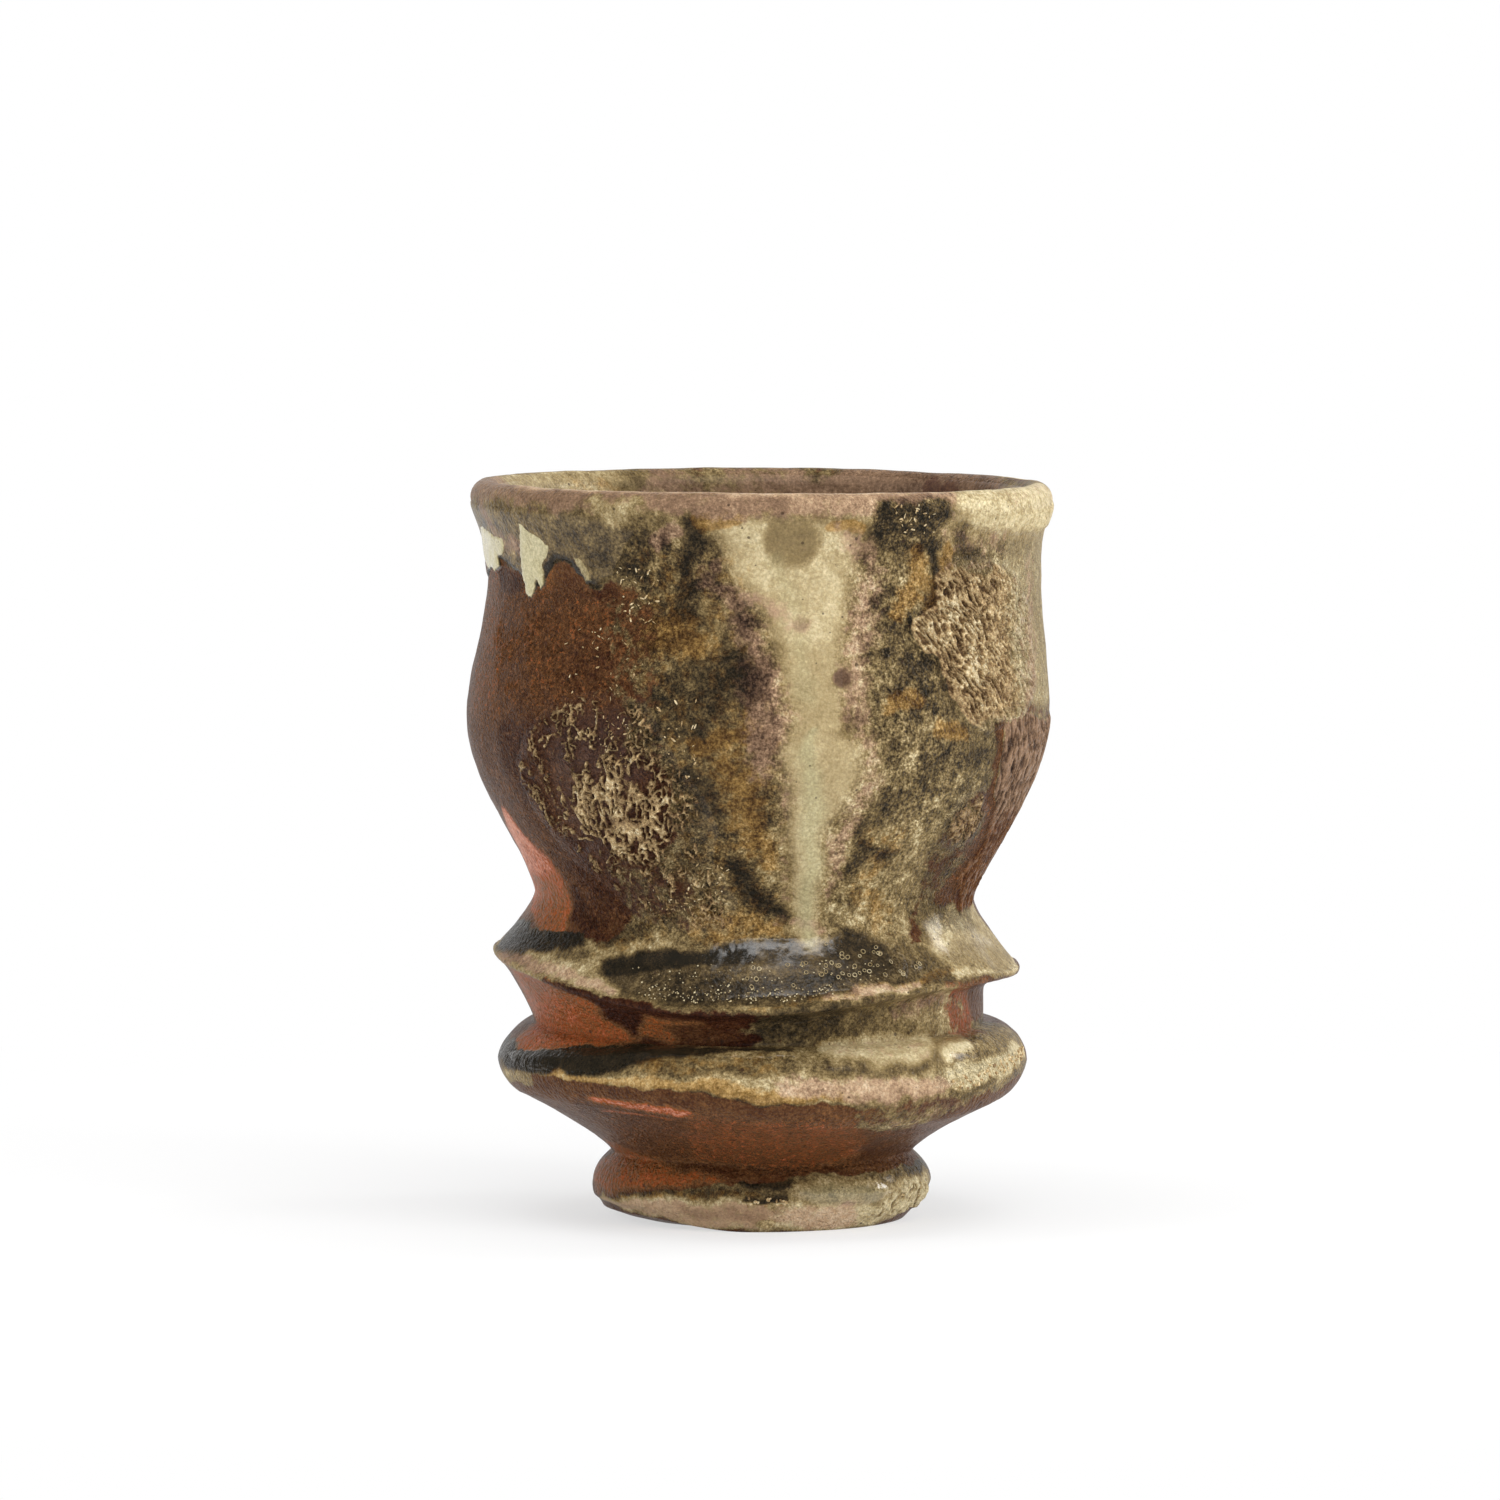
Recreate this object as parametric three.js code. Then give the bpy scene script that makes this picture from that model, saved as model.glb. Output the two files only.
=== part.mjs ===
// A handle-less drinking cup in wood-fired stoneware, thrown and then altered by hand.
// One clay body carries what the firing fused to it: a liner glaze, a shoulder glaze and its drips,
// melted ash, crusts and a crumb of wadding.
// Millimetres, +Z up. The front faces -Y, and the origin is the middle of the foot's flat base.

import * as THREE from "three";

// Heights of the clay body. The foot, flanges and waist stack up from the base, the shoulder and the
// belly hang down from the lip, and the lower wall takes the height that is left between them.
const cupHeight = 102.5;
const footRimHeight = 5.0;
const footShoulderRise = 4.2;
const lowerFlangeRise = 12.8;
const grooveRise = 5.4;
const upperFlangeRise = 8.6;
const waistRise = 8.8;
const shoulderDrop = 13.2;
const bellyDrop = 19.3;

// Radii of the clay body at those heights
const baseRadius = 21.2;
const footRadius = 23.8;
const neckRadius = 21.2;
const lowerFlangeRadius = 37.1;
const grooveRadius = 31.5;
const upperFlangeRadius = 36.8;
const waistRadius = 30.8;
const bellyRadius = 40.5;
const shoulderRadius = 38.4;
const lipRadius = 40.3;

// Walls and edges
const wallThickness = 4.2;
const lipThickness = 4.2;
const lipRoundness = 2.3;
const floorThickness = 14.3;
const noseDepth = 3.3; // how far in the lower flange's rounded edge begins
const noseDrop = 4.4; // how far that edge turns under
const edgeHalf = 0.6; // half the upper flange's thin edge

// What the hand and the fire did to the round shape
const footOffset = 1.1; // the base was cut off centre, to the left
const lowerFlangeDip = 2.4; // the flange sags at the front and rises at the back
const lowerFlangeTurn = THREE.MathUtils.degToRad(24); // where it sags most
const upperFlangeDip = 4.4;
const upperFlangeTurn = THREE.MathUtils.degToRad(-14);
const upperFlangeLean = 1.4; // the left side stands higher than the right
const upperFlangeOffset = 0.3; // the left edge reaches further out than the right
const waistSideStep = 1.2; // the waist sits to the left of the axis
const rimLean = 0.25; // the lip is lower on the right
const throwingWobble = 0.2;

// Glazes and deposits
const fusedGap = 0.3; // clearance that stands for the fused face between clay and glass
const linerThickness = 0.5;
const shoulderGlazeThickness = 0.5;
const shoulderGlazeLength = 6.5; // from below the lip down to the scalloped edge
const dripThickness = 0.9;
const runThickness = 0.6;
const crustThickness = 0.7;
const poolThickness = 0.9;
const featherEdge = 0.25; // thickness of a deposit at its outline
const crumbWidth = 2.4;
const crumbHeight = 1.2;

// Facets
const turnSteps = 48;
const linerTurnSteps = 24;
const narrowColumns = 4;
const blotColumns = 6;
const bandColumns = 10;
const wrapColumns = 24;

const neck = footRimHeight + footShoulderRise;
const lowerEdge = neck + lowerFlangeRise;
const groove = lowerEdge + grooveRise;
const upperEdge = groove + upperFlangeRise;
const waist = upperEdge + waistRise;
const shoulder = cupHeight - shoulderDrop;
const belly = shoulder - bellyDrop;
const lipFoot = cupHeight - lipRoundness;

const { degToRad, lerp } = THREE.MathUtils;
const ease = (share) => share * share * (3 - 2 * share);

// The profile: stations from the middle of the base, up the outside, over the lip and down the bowl.
// lower, upper and rim say how far a station follows the dips and the lean, side how far it steps to
// the left, and offCentre how much further it reaches on the right than on the left.
const stations = [];
const stretches = {};
const level = { lower: 0, upper: 0, rim: 0, side: 0, offCentre: 0 };

function stretch(name, steps, place) {
  stretches[name] = { start: stations.length, steps };
  for (let step = 0; step < steps; step += 1) stations.push({ ...level, ...place(step / steps) });
}

// A quarter of a superellipse, from an upright edge at share 0 to a level end at share 1
function quarter(share, fromRadius, toRadius, squareness) {
  const fullness = (1 - share ** squareness) ** (1 / squareness);
  return lerp(toRadius, fromRadius, fullness);
}

// A radius that differs from left to right, as a middle value and half the difference
const leftToRight = (left, right) => ({ radius: (left + right) / 2, offCentre: (right - left) / 2 });

stretch("base", 2, (share) => ({ radius: baseRadius * share, height: 0, offCentre: -footOffset * share }));
stretch("footSide", 4, (share) => ({
  radius: lerp(footRadius, baseRadius, (1 - share) ** 1.6),
  height: footRimHeight * share,
  offCentre: -footOffset * (1 - share),
}));
stretch("footTop", 4, (share) => ({
  radius: lerp(footRadius, neckRadius, share ** 2),
  height: lerp(footRimHeight, neck, share),
}));
stretch("cone", 5, (share) => ({
  radius: lerp(neckRadius, lowerFlangeRadius - noseDepth, share),
  height: lerp(neck, lowerEdge - noseDrop, share ** 0.85),
  lower: share,
}));
stretch("noseUnder", 4, (share) => ({
  radius: quarter(1 - share, lowerFlangeRadius, lowerFlangeRadius - noseDepth, 1.5),
  height: lerp(lowerEdge - noseDrop, lowerEdge, share),
  lower: 1,
}));

// The lower flange's top falls away steeply on the left and is domed on the right
stretch("dome", 6, (share) => ({
  ...leftToRight(
    quarter(share, lowerFlangeRadius, grooveRadius, 1.4),
    quarter(share, lowerFlangeRadius, grooveRadius, 2.2),
  ),
  height: lerp(lowerEdge, groove, share),
  lower: lerp(1, 0.15, ease(share)),
  upper: 0.1 * ease(share),
  side: 0.5 * share,
}));

// The upper flange's underside flares softly on the left and is cut nearly flat on the right
stretch("undercut", 5, (share) => {
  const underEdge = upperFlangeRadius - edgeHalf;
  return {
    ...leftToRight(
      lerp(grooveRadius, underEdge + upperFlangeOffset, share ** 1.35),
      lerp(grooveRadius, underEdge - upperFlangeOffset, share ** 12),
    ),
    height: lerp(groove, upperEdge - edgeHalf, share),
    lower: 0.15 * (1 - ease(share)),
    upper: lerp(0.1, 1, ease(share)),
    side: 0.5,
  };
});
stretch("edge", 2, (share) => ({
  radius: upperFlangeRadius - edgeHalf * Math.abs(1 - 2 * share),
  height: lerp(upperEdge - edgeHalf, upperEdge + edgeHalf, share),
  upper: 1,
  offCentre: -upperFlangeOffset,
  side: 0.5,
}));
stretch("flangeTop", 6, (share) => ({
  radius: lerp(waistRadius, upperFlangeRadius - edgeHalf, (1 - share) ** 1.35),
  height: lerp(upperEdge + edgeHalf, waist, share),
  upper: lerp(1, 0.5, ease(share)),
  offCentre: -upperFlangeOffset * (1 - share),
  side: lerp(0.5, 1, ease(share)),
}));
stretch("lowerWall", 7, (share) => ({
  radius: lerp(waistRadius, bellyRadius, ease(share ** 0.78)),
  height: lerp(waist, belly, share),
  upper: 0.5 * (1 - ease(share)),
  side: lerp(1, 0.5, share),
}));
stretch("upperWall", 4, (share) => ({
  radius: lerp(bellyRadius, shoulderRadius, ease(share)),
  height: lerp(belly, shoulder, share),
  rim: 0.4 * share,
  side: lerp(0.5, -0.3, share),
}));
stretch("flare", 4, (share) => ({
  radius: lerp(shoulderRadius, lipRadius, ease(share ** 1.9)),
  height: lerp(shoulder, lipFoot, share),
  rim: lerp(0.4, 1, share),
  side: -0.3 * (1 - share),
}));
stretch("lip", 6, (share) => ({
  radius: lipRadius - (lipThickness * (1 - Math.cos(Math.PI * share))) / 2,
  height: lipFoot + lipRoundness * Math.sin(Math.PI * share),
  rim: 1,
}));
stretch("innerFlare", 3, (share) => ({
  radius: lerp(lipRadius - lipThickness, shoulderRadius - wallThickness, ease(share)),
  height: lerp(lipFoot, shoulder, share),
  rim: lerp(1, 0.4, share),
  side: -0.3 * share,
}));
stretch("innerUpperWall", 3, (share) => ({
  radius: lerp(shoulderRadius, bellyRadius, ease(share)) - wallThickness,
  height: lerp(shoulder, belly, share),
  rim: 0.4 * (1 - share),
  side: lerp(-0.3, 0.5, share),
}));
stretch("innerLowerWall", 5, (share) => ({
  radius: lerp(waistRadius, bellyRadius, ease((1 - share) ** 0.78)) - wallThickness,
  height: lerp(belly, waist, share),
  side: lerp(0.5, 1, share),
}));
stretch("bowl", 9, (share) => ({
  radius: (waistRadius - wallThickness) * Math.cos((share * Math.PI) / 2) ** 0.7,
  height: lerp(waist, floorThickness, Math.sin((share * Math.PI) / 2) ** 0.9),
  side: 1 - share,
}));
stations.push({ ...level, radius: 0, height: floorThickness });

// A place on the profile, as a stretch and how far along it, or as a height on the outer wall
const along = (name, share) => stretches[name].start + share * stretches[name].steps;

function wallAt(height) {
  let place = stretches.lowerWall.start;
  while (stations[place + 1].height < height) place += 1;
  return place + (height - stations[place].height) / (stations[place + 1].height - stations[place].height);
}

function stationAt(place) {
  const below = Math.min(Math.floor(place), stations.length - 2);
  const station = {};
  for (const key of Object.keys(stations[below])) {
    station[key] = lerp(stations[below][key], stations[below + 1][key], place - below);
  }
  return station;
}

// A point on the clay. Turn 0 is the front, and turns run towards the right.
function clayPoint(turn, place) {
  const { radius, height, lower, upper, rim, side, offCentre } = stationAt(place);
  const lowerDip = -lowerFlangeDip * Math.cos(turn - lowerFlangeTurn) ** 3;
  const upperDip = -upperFlangeDip * Math.cos(turn - upperFlangeTurn) ** 3;
  const upperLean = -upperFlangeLean * Math.sin(turn);
  const lean = -rimLean * Math.sin(turn + 0.3);
  const wobble = Math.sin(2 * turn + 0.6 + height / 30) + 0.5 * Math.sin(3 * turn - 1.1 - height / 22);
  const uneven = throwingWobble * wobble * Math.min(1, radius / baseRadius);
  const reach = radius + offCentre * Math.sin(turn) + uneven;
  return new THREE.Vector3(
    reach * Math.sin(turn) - waistSideStep * side,
    -reach * Math.cos(turn),
    height + lower * lowerDip + upper * (upperDip + upperLean) + rim * lean,
  );
}

// The same point, moved off the clay by a distance along the surface's normal
function offClay(turn, place, distance) {
  const turnNudge = 0.02;
  const placeNudge = 0.2;
  const around = clayPoint(turn + turnNudge, place).sub(clayPoint(turn - turnNudge, place));
  const up = clayPoint(turn, place + placeNudge).sub(clayPoint(turn, place - placeNudge));
  return clayPoint(turn, place).addScaledVector(around.cross(up).normalize(), distance);
}

function makeMesh(name, color, roughness, points, triangles) {
  const geometry = new THREE.BufferGeometry();
  const positions = points.flatMap((point) => point.toArray());
  geometry.setAttribute("position", new THREE.Float32BufferAttribute(positions, 3));
  geometry.setIndex(triangles.flat());
  geometry.computeVertexNormals();
  const mesh = new THREE.Mesh(geometry, new THREE.MeshStandardMaterial({ color, roughness, metalness: 0 }));
  mesh.name = name;
  return mesh;
}

// Triangles between two closed rings of vertices, where a ring of one vertex is a pole
function joinRings(first, second, triangles) {
  const steps = Math.max(first.length, second.length);
  for (let i = 0; i < steps; i += 1) {
    const next = (i + 1) % steps;
    if (first.length > 1) triangles.push([first[i], first[next], second[next % second.length]]);
    if (second.length > 1) triangles.push([first[i % first.length], second[next], second[i]]);
  }
}

function ringOf(points, steps, pointAt) {
  const ring = [];
  for (let i = 0; i < steps; i += 1) {
    ring.push(points.length);
    points.push(pointAt((i / steps) * 2 * Math.PI));
  }
  return ring;
}

// The thrown clay body, one closed surface from the middle of the base to the middle of the bowl
function makeBody() {
  const points = [];
  const rings = stations.map((station, place) =>
    ringOf(points, station.radius === 0 ? 1 : turnSteps, (turn) => clayPoint(turn, place)),
  );
  const triangles = [];
  for (let i = 1; i < rings.length; i += 1) joinRings(rings[i - 1], rings[i], triangles);
  return makeMesh("stoneware_body", 0x7a4a30, 0.7, points, triangles);
}

// The glaze poured into the bowl: a thin cup that lines it from below the lip to the middle of the floor
function makeLiner() {
  const points = [];
  const places = [];
  for (let place = along("lip", 5 / 6); place < stations.length - 1; place += 1) places.push(place);
  const skin = (distance) => [
    ...places.map((place) => ringOf(points, linerTurnSteps, (turn) => offClay(turn, place, distance))),
    ringOf(points, 1, () => new THREE.Vector3(0, 0, floorThickness + distance)),
  ];
  const glass = skin(fusedGap + linerThickness);
  const back = skin(fusedGap);
  const triangles = [];
  for (let i = 1; i < glass.length; i += 1) {
    joinRings(glass[i - 1], glass[i], triangles);
    joinRings(back[i], back[i - 1], triangles);
  }
  joinRings(back[0], glass[0], triangles);
  return makeMesh("liner_glaze", 0x9a8468, 0.35, points, triangles);
}

// A deposit on the outside. Its rows run up the profile, and each has its place, the turn of its middle
// in degrees, half its width and how far its back stands off the clay. The deposit is thickest in the
// middle and thins to its outline.
function makeDeposit({ name, color, roughness, thickness, columns, rows }) {
  const points = [];
  const grid = (distanceAt) =>
    rows.map(({ place, middle, half, gap = fusedGap }, row) => {
      const line = [];
      const spread = half / stationAt(place).radius;
      for (let column = 0; column <= columns; column += 1) {
        const across = (2 * column) / columns - 1;
        const rise = (2 * row) / (rows.length - 1) - 1;
        line.push(points.length);
        points.push(offClay(degToRad(middle) + spread * across, place, gap + distanceAt(across, rise)));
      }
      return line;
    });
  const crown = (across, rise) => Math.sqrt(Math.max(0, 1 - across ** 2) * Math.max(0, 1 - rise ** 4));
  const front = grid((across, rise) => lerp(featherEdge, thickness, crown(across, rise)));
  const back = grid(() => 0);
  const triangles = [];
  for (let row = 1; row < rows.length; row += 1) {
    for (let column = 1; column <= columns; column += 1) {
      const corners = (lines) => [
        lines[row - 1][column - 1],
        lines[row - 1][column],
        lines[row][column],
        lines[row][column - 1],
      ];
      const [a, b, c, d] = corners(front);
      const [e, f, g, h] = corners(back);
      triangles.push([a, b, c], [a, c, d], [e, g, f], [e, h, g]);
    }
  }
  const outline = (lines) => [
    ...lines[0],
    ...lines.slice(1).map((line) => line[columns]),
    ...lines[lines.length - 1].slice(0, columns).reverse(),
    ...lines.slice(1, -1).map((line) => line[0]).reverse(),
  ];
  joinRings(outline(back), outline(front), triangles);
  return makeMesh(name, color, roughness, points, triangles);
}

// The rows of a patch from one place up to another. It leans as its middle moves, and its ends are
// narrower than its middle by its roundness, where 1 would bring them to a point.
const blot = { roundness: 0.96, columns: blotColumns };
const band = { roundness: 0.5, columns: bandColumns };
const patchSteps = 8;

function patch({ low, high, lowMiddle, highMiddle, half, roundness }) {
  const rows = [];
  for (let step = 0; step <= patchSteps; step += 1) {
    const share = step / patchSteps;
    rows.push({
      place: lerp(low, high, share),
      middle: lerp(lowMiddle, highMiddle, share),
      half: half * Math.sqrt(1 - roundness * (2 * share - 1) ** 2),
    });
  }
  return rows;
}

// The glaze over the shoulder, from below the lip down to its edge, and from the left of the front
// round to the back
const glazeTop = lipFoot - 0.8;
const glazeFoot = glazeTop - shoulderGlazeLength;
const glazeMiddle = -106;
const glazeHalf = 47.5;

function makeShoulderGlaze() {
  const rows = [];
  for (let step = 0; step <= 4; step += 1) {
    const half = glazeHalf + 0.5 * step;
    rows.push({ place: wallAt(lerp(glazeFoot, glazeTop, step / 4)), middle: glazeMiddle, half });
  }
  return makeDeposit({
    name: "shoulder_glaze",
    color: 0x4a4632,
    roughness: 0.4,
    thickness: shoulderGlazeThickness,
    columns: wrapColumns,
    rows,
  });
}

// A drip of thick pale glaze stands on the shoulder glaze and runs on past its edge, on to the clay
const onGlaze = fusedGap + shoulderGlazeThickness + fusedGap;

function makeDrip({ name, middle, half, drop }) {
  const step = 0.8; // how far below the glaze's edge the drip comes down to the clay
  const rows = [
    { place: wallAt(glazeFoot - step - drop), middle, half: half * 0.3 },
    { place: wallAt(glazeFoot - step - drop / 2), middle, half: half * 0.6 },
    { place: wallAt(glazeFoot - step), middle, half: half * 0.75 },
    { place: wallAt(glazeFoot), middle, half: half * 0.85, gap: onGlaze },
    { place: wallAt(glazeFoot + 2.4), middle, half, gap: onGlaze },
    { place: wallAt(glazeFoot + 4.4), middle, half: half * 0.5, gap: onGlaze },
  ];
  const thickness = dripThickness;
  return makeDeposit({ name, color: 0xc8c39a, roughness: 0.25, thickness, columns: narrowColumns, rows });
}

const drips = [
  { name: "celadon_drip_left", middle: -54, half: 5.2, drop: 4.2 },
  { name: "celadon_drip_edge", middle: -73, half: 4.4, drop: 1.2 },
  { name: "celadon_drip_middle", middle: -39, half: 2, drop: 1.8 },
];

// Ash that melted on the side that faced the fire and ran down the front to the waist
function makeAshRun() {
  const rows = [
    { place: along("flangeTop", 0.85), middle: 14.3, half: 1.1 },
    { place: wallAt(waist + 3), middle: 14, half: 1.5 },
    { place: wallAt(waist + 8), middle: 13.8, half: 2.2 },
    { place: wallAt(belly - 12), middle: 13.6, half: 3.2 },
    { place: wallAt(belly - 8), middle: 14.5, half: 5.6 },
    { place: wallAt(belly - 4), middle: 13, half: 4.8 },
    { place: wallAt(belly), middle: 11.4, half: 3.2 },
    { place: wallAt(belly + 5), middle: 11.6, half: 3.5 },
    { place: wallAt(shoulder - 10), middle: 10.5, half: 4.8 },
    { place: wallAt(shoulder - 5), middle: 9.6, half: 5.8 },
    { place: wallAt(shoulder), middle: 8.4, half: 7 },
    { place: wallAt(shoulder + 4), middle: 6.2, half: 9.4 },
    { place: wallAt(lipFoot - 3), middle: 4.5, half: 10.8 },
    { place: wallAt(lipFoot - 1.6), middle: 4.5, half: 8.6 },
  ];
  return makeDeposit({
    name: "centre_ash_run",
    color: 0xcdc396,
    roughness: 0.45,
    thickness: runThickness,
    columns: blotColumns,
    rows,
  });
}

// Ash that crusted where it fell too thick to run
const crusts = {
  crust_patch_left: {
    ...blot,
    low: wallAt(waist + 7),
    high: wallAt(belly + 7),
    lowMiddle: -22,
    highMiddle: -31,
    half: 13.5,
  },
  crust_patch_right: {
    ...blot,
    low: wallAt(belly - 3),
    high: wallAt(shoulder + 4),
    lowMiddle: 64,
    highMiddle: 49,
    half: 14.5,
  },
  crust_patch_lower_right: {
    ...blot,
    low: along("flangeTop", 0.75),
    high: wallAt(belly - 7),
    lowMiddle: 54,
    highMiddle: 48,
    half: 8.5,
  },
  rim_ash_band: {
    ...band,
    low: wallAt(shoulder + 6),
    high: along("lip", 0.1),
    lowMiddle: 64,
    highMiddle: 66,
    half: 18.5,
  },
  foot_ash_edge: {
    ...band,
    low: along("footSide", 0.2),
    high: along("footTop", 0.1),
    lowMiddle: 60,
    highMiddle: 60,
    half: 8,
  },
};

// Glass that pooled on the flanges and on the foot's shoulder
const pools = {
  upper_flange_pool: {
    ...band,
    low: along("flangeTop", 0.05),
    high: along("flangeTop", 0.55),
    lowMiddle: -3,
    highMiddle: -3,
    half: 24,
  },
  lower_flange_pool: {
    ...band,
    low: along("dome", 0.15),
    high: along("dome", 0.85),
    lowMiddle: -36,
    highMiddle: -36,
    half: 26,
  },
  foot_pool: {
    ...band,
    low: along("footTop", 0.3),
    high: along("footTop", 0.8),
    lowMiddle: 28,
    highMiddle: 28,
    half: 8,
  },
};

function makePatches(patches, color, roughness, thickness) {
  return Object.entries(patches).map(([name, outline]) =>
    makeDeposit({ name, color, roughness, thickness, columns: outline.columns, rows: patch(outline) }),
  );
}

// A crumb of the wadding that the cup stood on, stuck to the front of the foot's lower edge
function makeCrumb() {
  const seat = offClay(degToRad(1), along("footSide", 0.25), fusedGap + crumbHeight / 2);
  const material = new THREE.MeshStandardMaterial({ color: 0xb9a58a, roughness: 0.9 });
  const mesh = new THREE.Mesh(new THREE.IcosahedronGeometry(0.5, 1), material);
  mesh.scale.set(crumbWidth, crumbHeight, crumbHeight);
  mesh.position.set(seat.x, seat.y, Math.max(seat.z, crumbHeight / 2 + featherEdge));
  mesh.name = "wad_crumb";
  return mesh;
}

const cup = new THREE.Group();
cup.add(makeBody(), makeLiner(), makeShoulderGlaze());
for (const drip of drips) cup.add(makeDrip(drip));
cup.add(makeAshRun());
cup.add(...makePatches(crusts, 0xa88a54, 0.8, crustThickness));
cup.add(...makePatches(pools, 0x4b4a38, 0.2, poolThickness));
cup.add(makeCrumb());

export default cup;
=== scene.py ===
# %% [markdown]
# This lesson dresses a handle-less drinking cup, thrown in coarse stoneware and fired in a wood kiln.
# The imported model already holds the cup's true sizes, so every piece here is made in the same frame:
# metres, +Z up, the front towards -Y. What is left for Blender is the fine surface that the hand and
# the fire gave it: melted ash, crusts, pools of glass and hundreds of mottled colours.

import bmesh
import bpy
import numpy as np
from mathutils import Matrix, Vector


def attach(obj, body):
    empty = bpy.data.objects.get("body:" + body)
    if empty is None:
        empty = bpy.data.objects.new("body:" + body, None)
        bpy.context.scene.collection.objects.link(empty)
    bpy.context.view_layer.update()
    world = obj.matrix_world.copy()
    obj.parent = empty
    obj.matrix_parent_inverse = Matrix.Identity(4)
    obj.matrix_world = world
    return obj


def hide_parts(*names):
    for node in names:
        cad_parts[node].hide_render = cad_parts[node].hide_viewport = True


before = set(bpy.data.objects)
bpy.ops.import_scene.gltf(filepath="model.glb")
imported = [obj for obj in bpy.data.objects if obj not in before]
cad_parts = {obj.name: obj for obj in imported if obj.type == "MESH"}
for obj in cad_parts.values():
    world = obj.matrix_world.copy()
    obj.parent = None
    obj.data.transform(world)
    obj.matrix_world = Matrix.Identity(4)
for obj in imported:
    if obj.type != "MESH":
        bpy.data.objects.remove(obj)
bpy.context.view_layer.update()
scene = bpy.context.scene
scene.view_settings.view_transform = "Standard"
MM = 0.001
print("nodes:", len(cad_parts))

# %% [markdown]
# The photograph was taken with a long lens from a little above the rim, so the cup shows almost no
# perspective. A camera 1.3 m away with a 226 mm lens gives the same flat ellipses.

# %% The camera
camera_place = np.array([-1.7, -1310.0, 161.0])
camera_aim = np.array([-1.7, 0.0, 64.95])
lens = 226.35
sensor = 36.0

camera = bpy.data.objects.new("camera", bpy.data.cameras.new("camera"))
camera.data.lens = lens
camera.data.sensor_width = sensor
camera.location = Vector(camera_place * MM)
camera.rotation_euler = Vector(camera_aim - camera_place).to_track_quat("-Z", "Y").to_euler()
scene.collection.objects.link(camera)
scene.camera = camera


# %% [markdown]
# The cup's outline is one line drawn from the middle of the base, up the outside, over the lip and
# down into the bowl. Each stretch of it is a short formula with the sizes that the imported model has,
# in millimetres. lower and upper say how far a place follows the two flanges' sag, rim how far it
# follows the lip's lean, side how far it steps to the left, and off_centre how much further it
# reaches on the right than on the left.

# %% Curves that the outline is drawn with
def mix(a, b, share):
    return a + (b - a) * share


def ease(share):
    return share * share * (3 - 2 * share)


def fade(low, high, value):
    return ease(np.clip((value - low) / (high - low), 0, 1))


def quarter(share, start, end, squareness):
    return mix(end, start, (1 - share**squareness) ** (1 / squareness))


# %% The outline's stretches
FIELDS = ("radius", "height", "lower", "upper", "rim", "side", "off_centre")
STEPS = 120
blocks = []
order = {}
t = np.arange(STEPS) / STEPS
BOWL_FLOOR, WAIST, BELLY, THROAT, RIM = 14.3, 44.8, 70, 89.3, 100.2  # heights in mm above the table


def stretch(name, **given):
    block = np.zeros((STEPS, len(FIELDS)))
    for key, value in given.items():
        block[:, FIELDS.index(key)] = value
    order[name] = len(blocks)
    blocks.append(block)


stretch("base", radius=21.2 * t, off_centre=-1.1 * t)
stretch("foot_side", radius=mix(23.8, 21.2, (1 - t) ** 1.6), height=5 * t, off_centre=-1.1 * (1 - t))
stretch("foot_top", radius=mix(23.8, 21.2, t**2), height=mix(5, 9.2, t))
stretch("cone", radius=mix(21.2, 33.8, t), height=mix(9.2, 17.6, t**0.85), lower=t)
stretch("nose_under", radius=quarter(1 - t, 37.1, 33.8, 1.5), height=mix(17.6, 22, t), lower=1)
left, right = quarter(t, 37.1, 31.5, 1.4), quarter(t, 37.1, 31.5, 2.2)
stretch("dome", radius=(left + right) / 2, off_centre=(right - left) / 2, height=mix(22, 27.4, t),
    lower=mix(1, 0.15, ease(t)), upper=0.1 * ease(t), side=0.5 * t)
left, right = mix(31.5, 36.5, t**1.35), mix(31.5, 35.9, t**12)
stretch("undercut", radius=(left + right) / 2, off_centre=(right - left) / 2, height=mix(27.4, 35.4, t),
    lower=0.15 * (1 - ease(t)), upper=mix(0.1, 1, ease(t)), side=0.5)
stretch("edge", radius=36.2 + 0.6 * np.sqrt(1 - (1 - 2 * t) ** 2), height=mix(35.4, 36.6, t), upper=1,
    off_centre=-0.3, side=0.5)
stretch("flange_top", radius=mix(30.8, 36.2, (1 - t) ** 1.35), height=mix(36.6, WAIST, t),
    upper=mix(1, 0.5, ease(t)), off_centre=-0.3 * (1 - t), side=mix(0.5, 1, ease(t)))
stretch("lower_wall", radius=mix(30.8, 40.5, ease(t**0.78)), height=mix(WAIST, BELLY, t),
    upper=0.5 * (1 - ease(t)), side=mix(1, 0.5, t))
stretch("upper_wall", radius=mix(40.5, 38.4, ease(t)), height=mix(BELLY, THROAT, t), rim=0.4 * t,
    side=mix(0.5, -0.3, t))
stretch("flare", radius=mix(38.4, 40.3, ease(t**1.9)), height=mix(THROAT, RIM, t), rim=mix(0.4, 1, t),
    side=-0.3 * (1 - t))
stretch("lip", radius=40.3 - 2.1 * (1 - np.cos(np.pi * t)), height=RIM + 2.3 * np.sin(np.pi * t), rim=1)
stretch("inner_flare", radius=mix(36.1, 34.2, ease(t)), height=mix(RIM, THROAT, t), rim=mix(1, 0.4, t),
    side=-0.3 * t)
stretch("inner_upper", radius=mix(34.2, 36.3, ease(t)), height=mix(THROAT, BELLY, t), rim=0.4 * (1 - t),
    side=mix(-0.3, 0.5, t))
stretch("inner_lower", radius=mix(26.6, 36.3, ease((1 - t) ** 0.78)), height=mix(BELLY, WAIST, t),
    side=mix(0.5, 1, t))
quarter_turn = t * np.pi / 2
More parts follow.
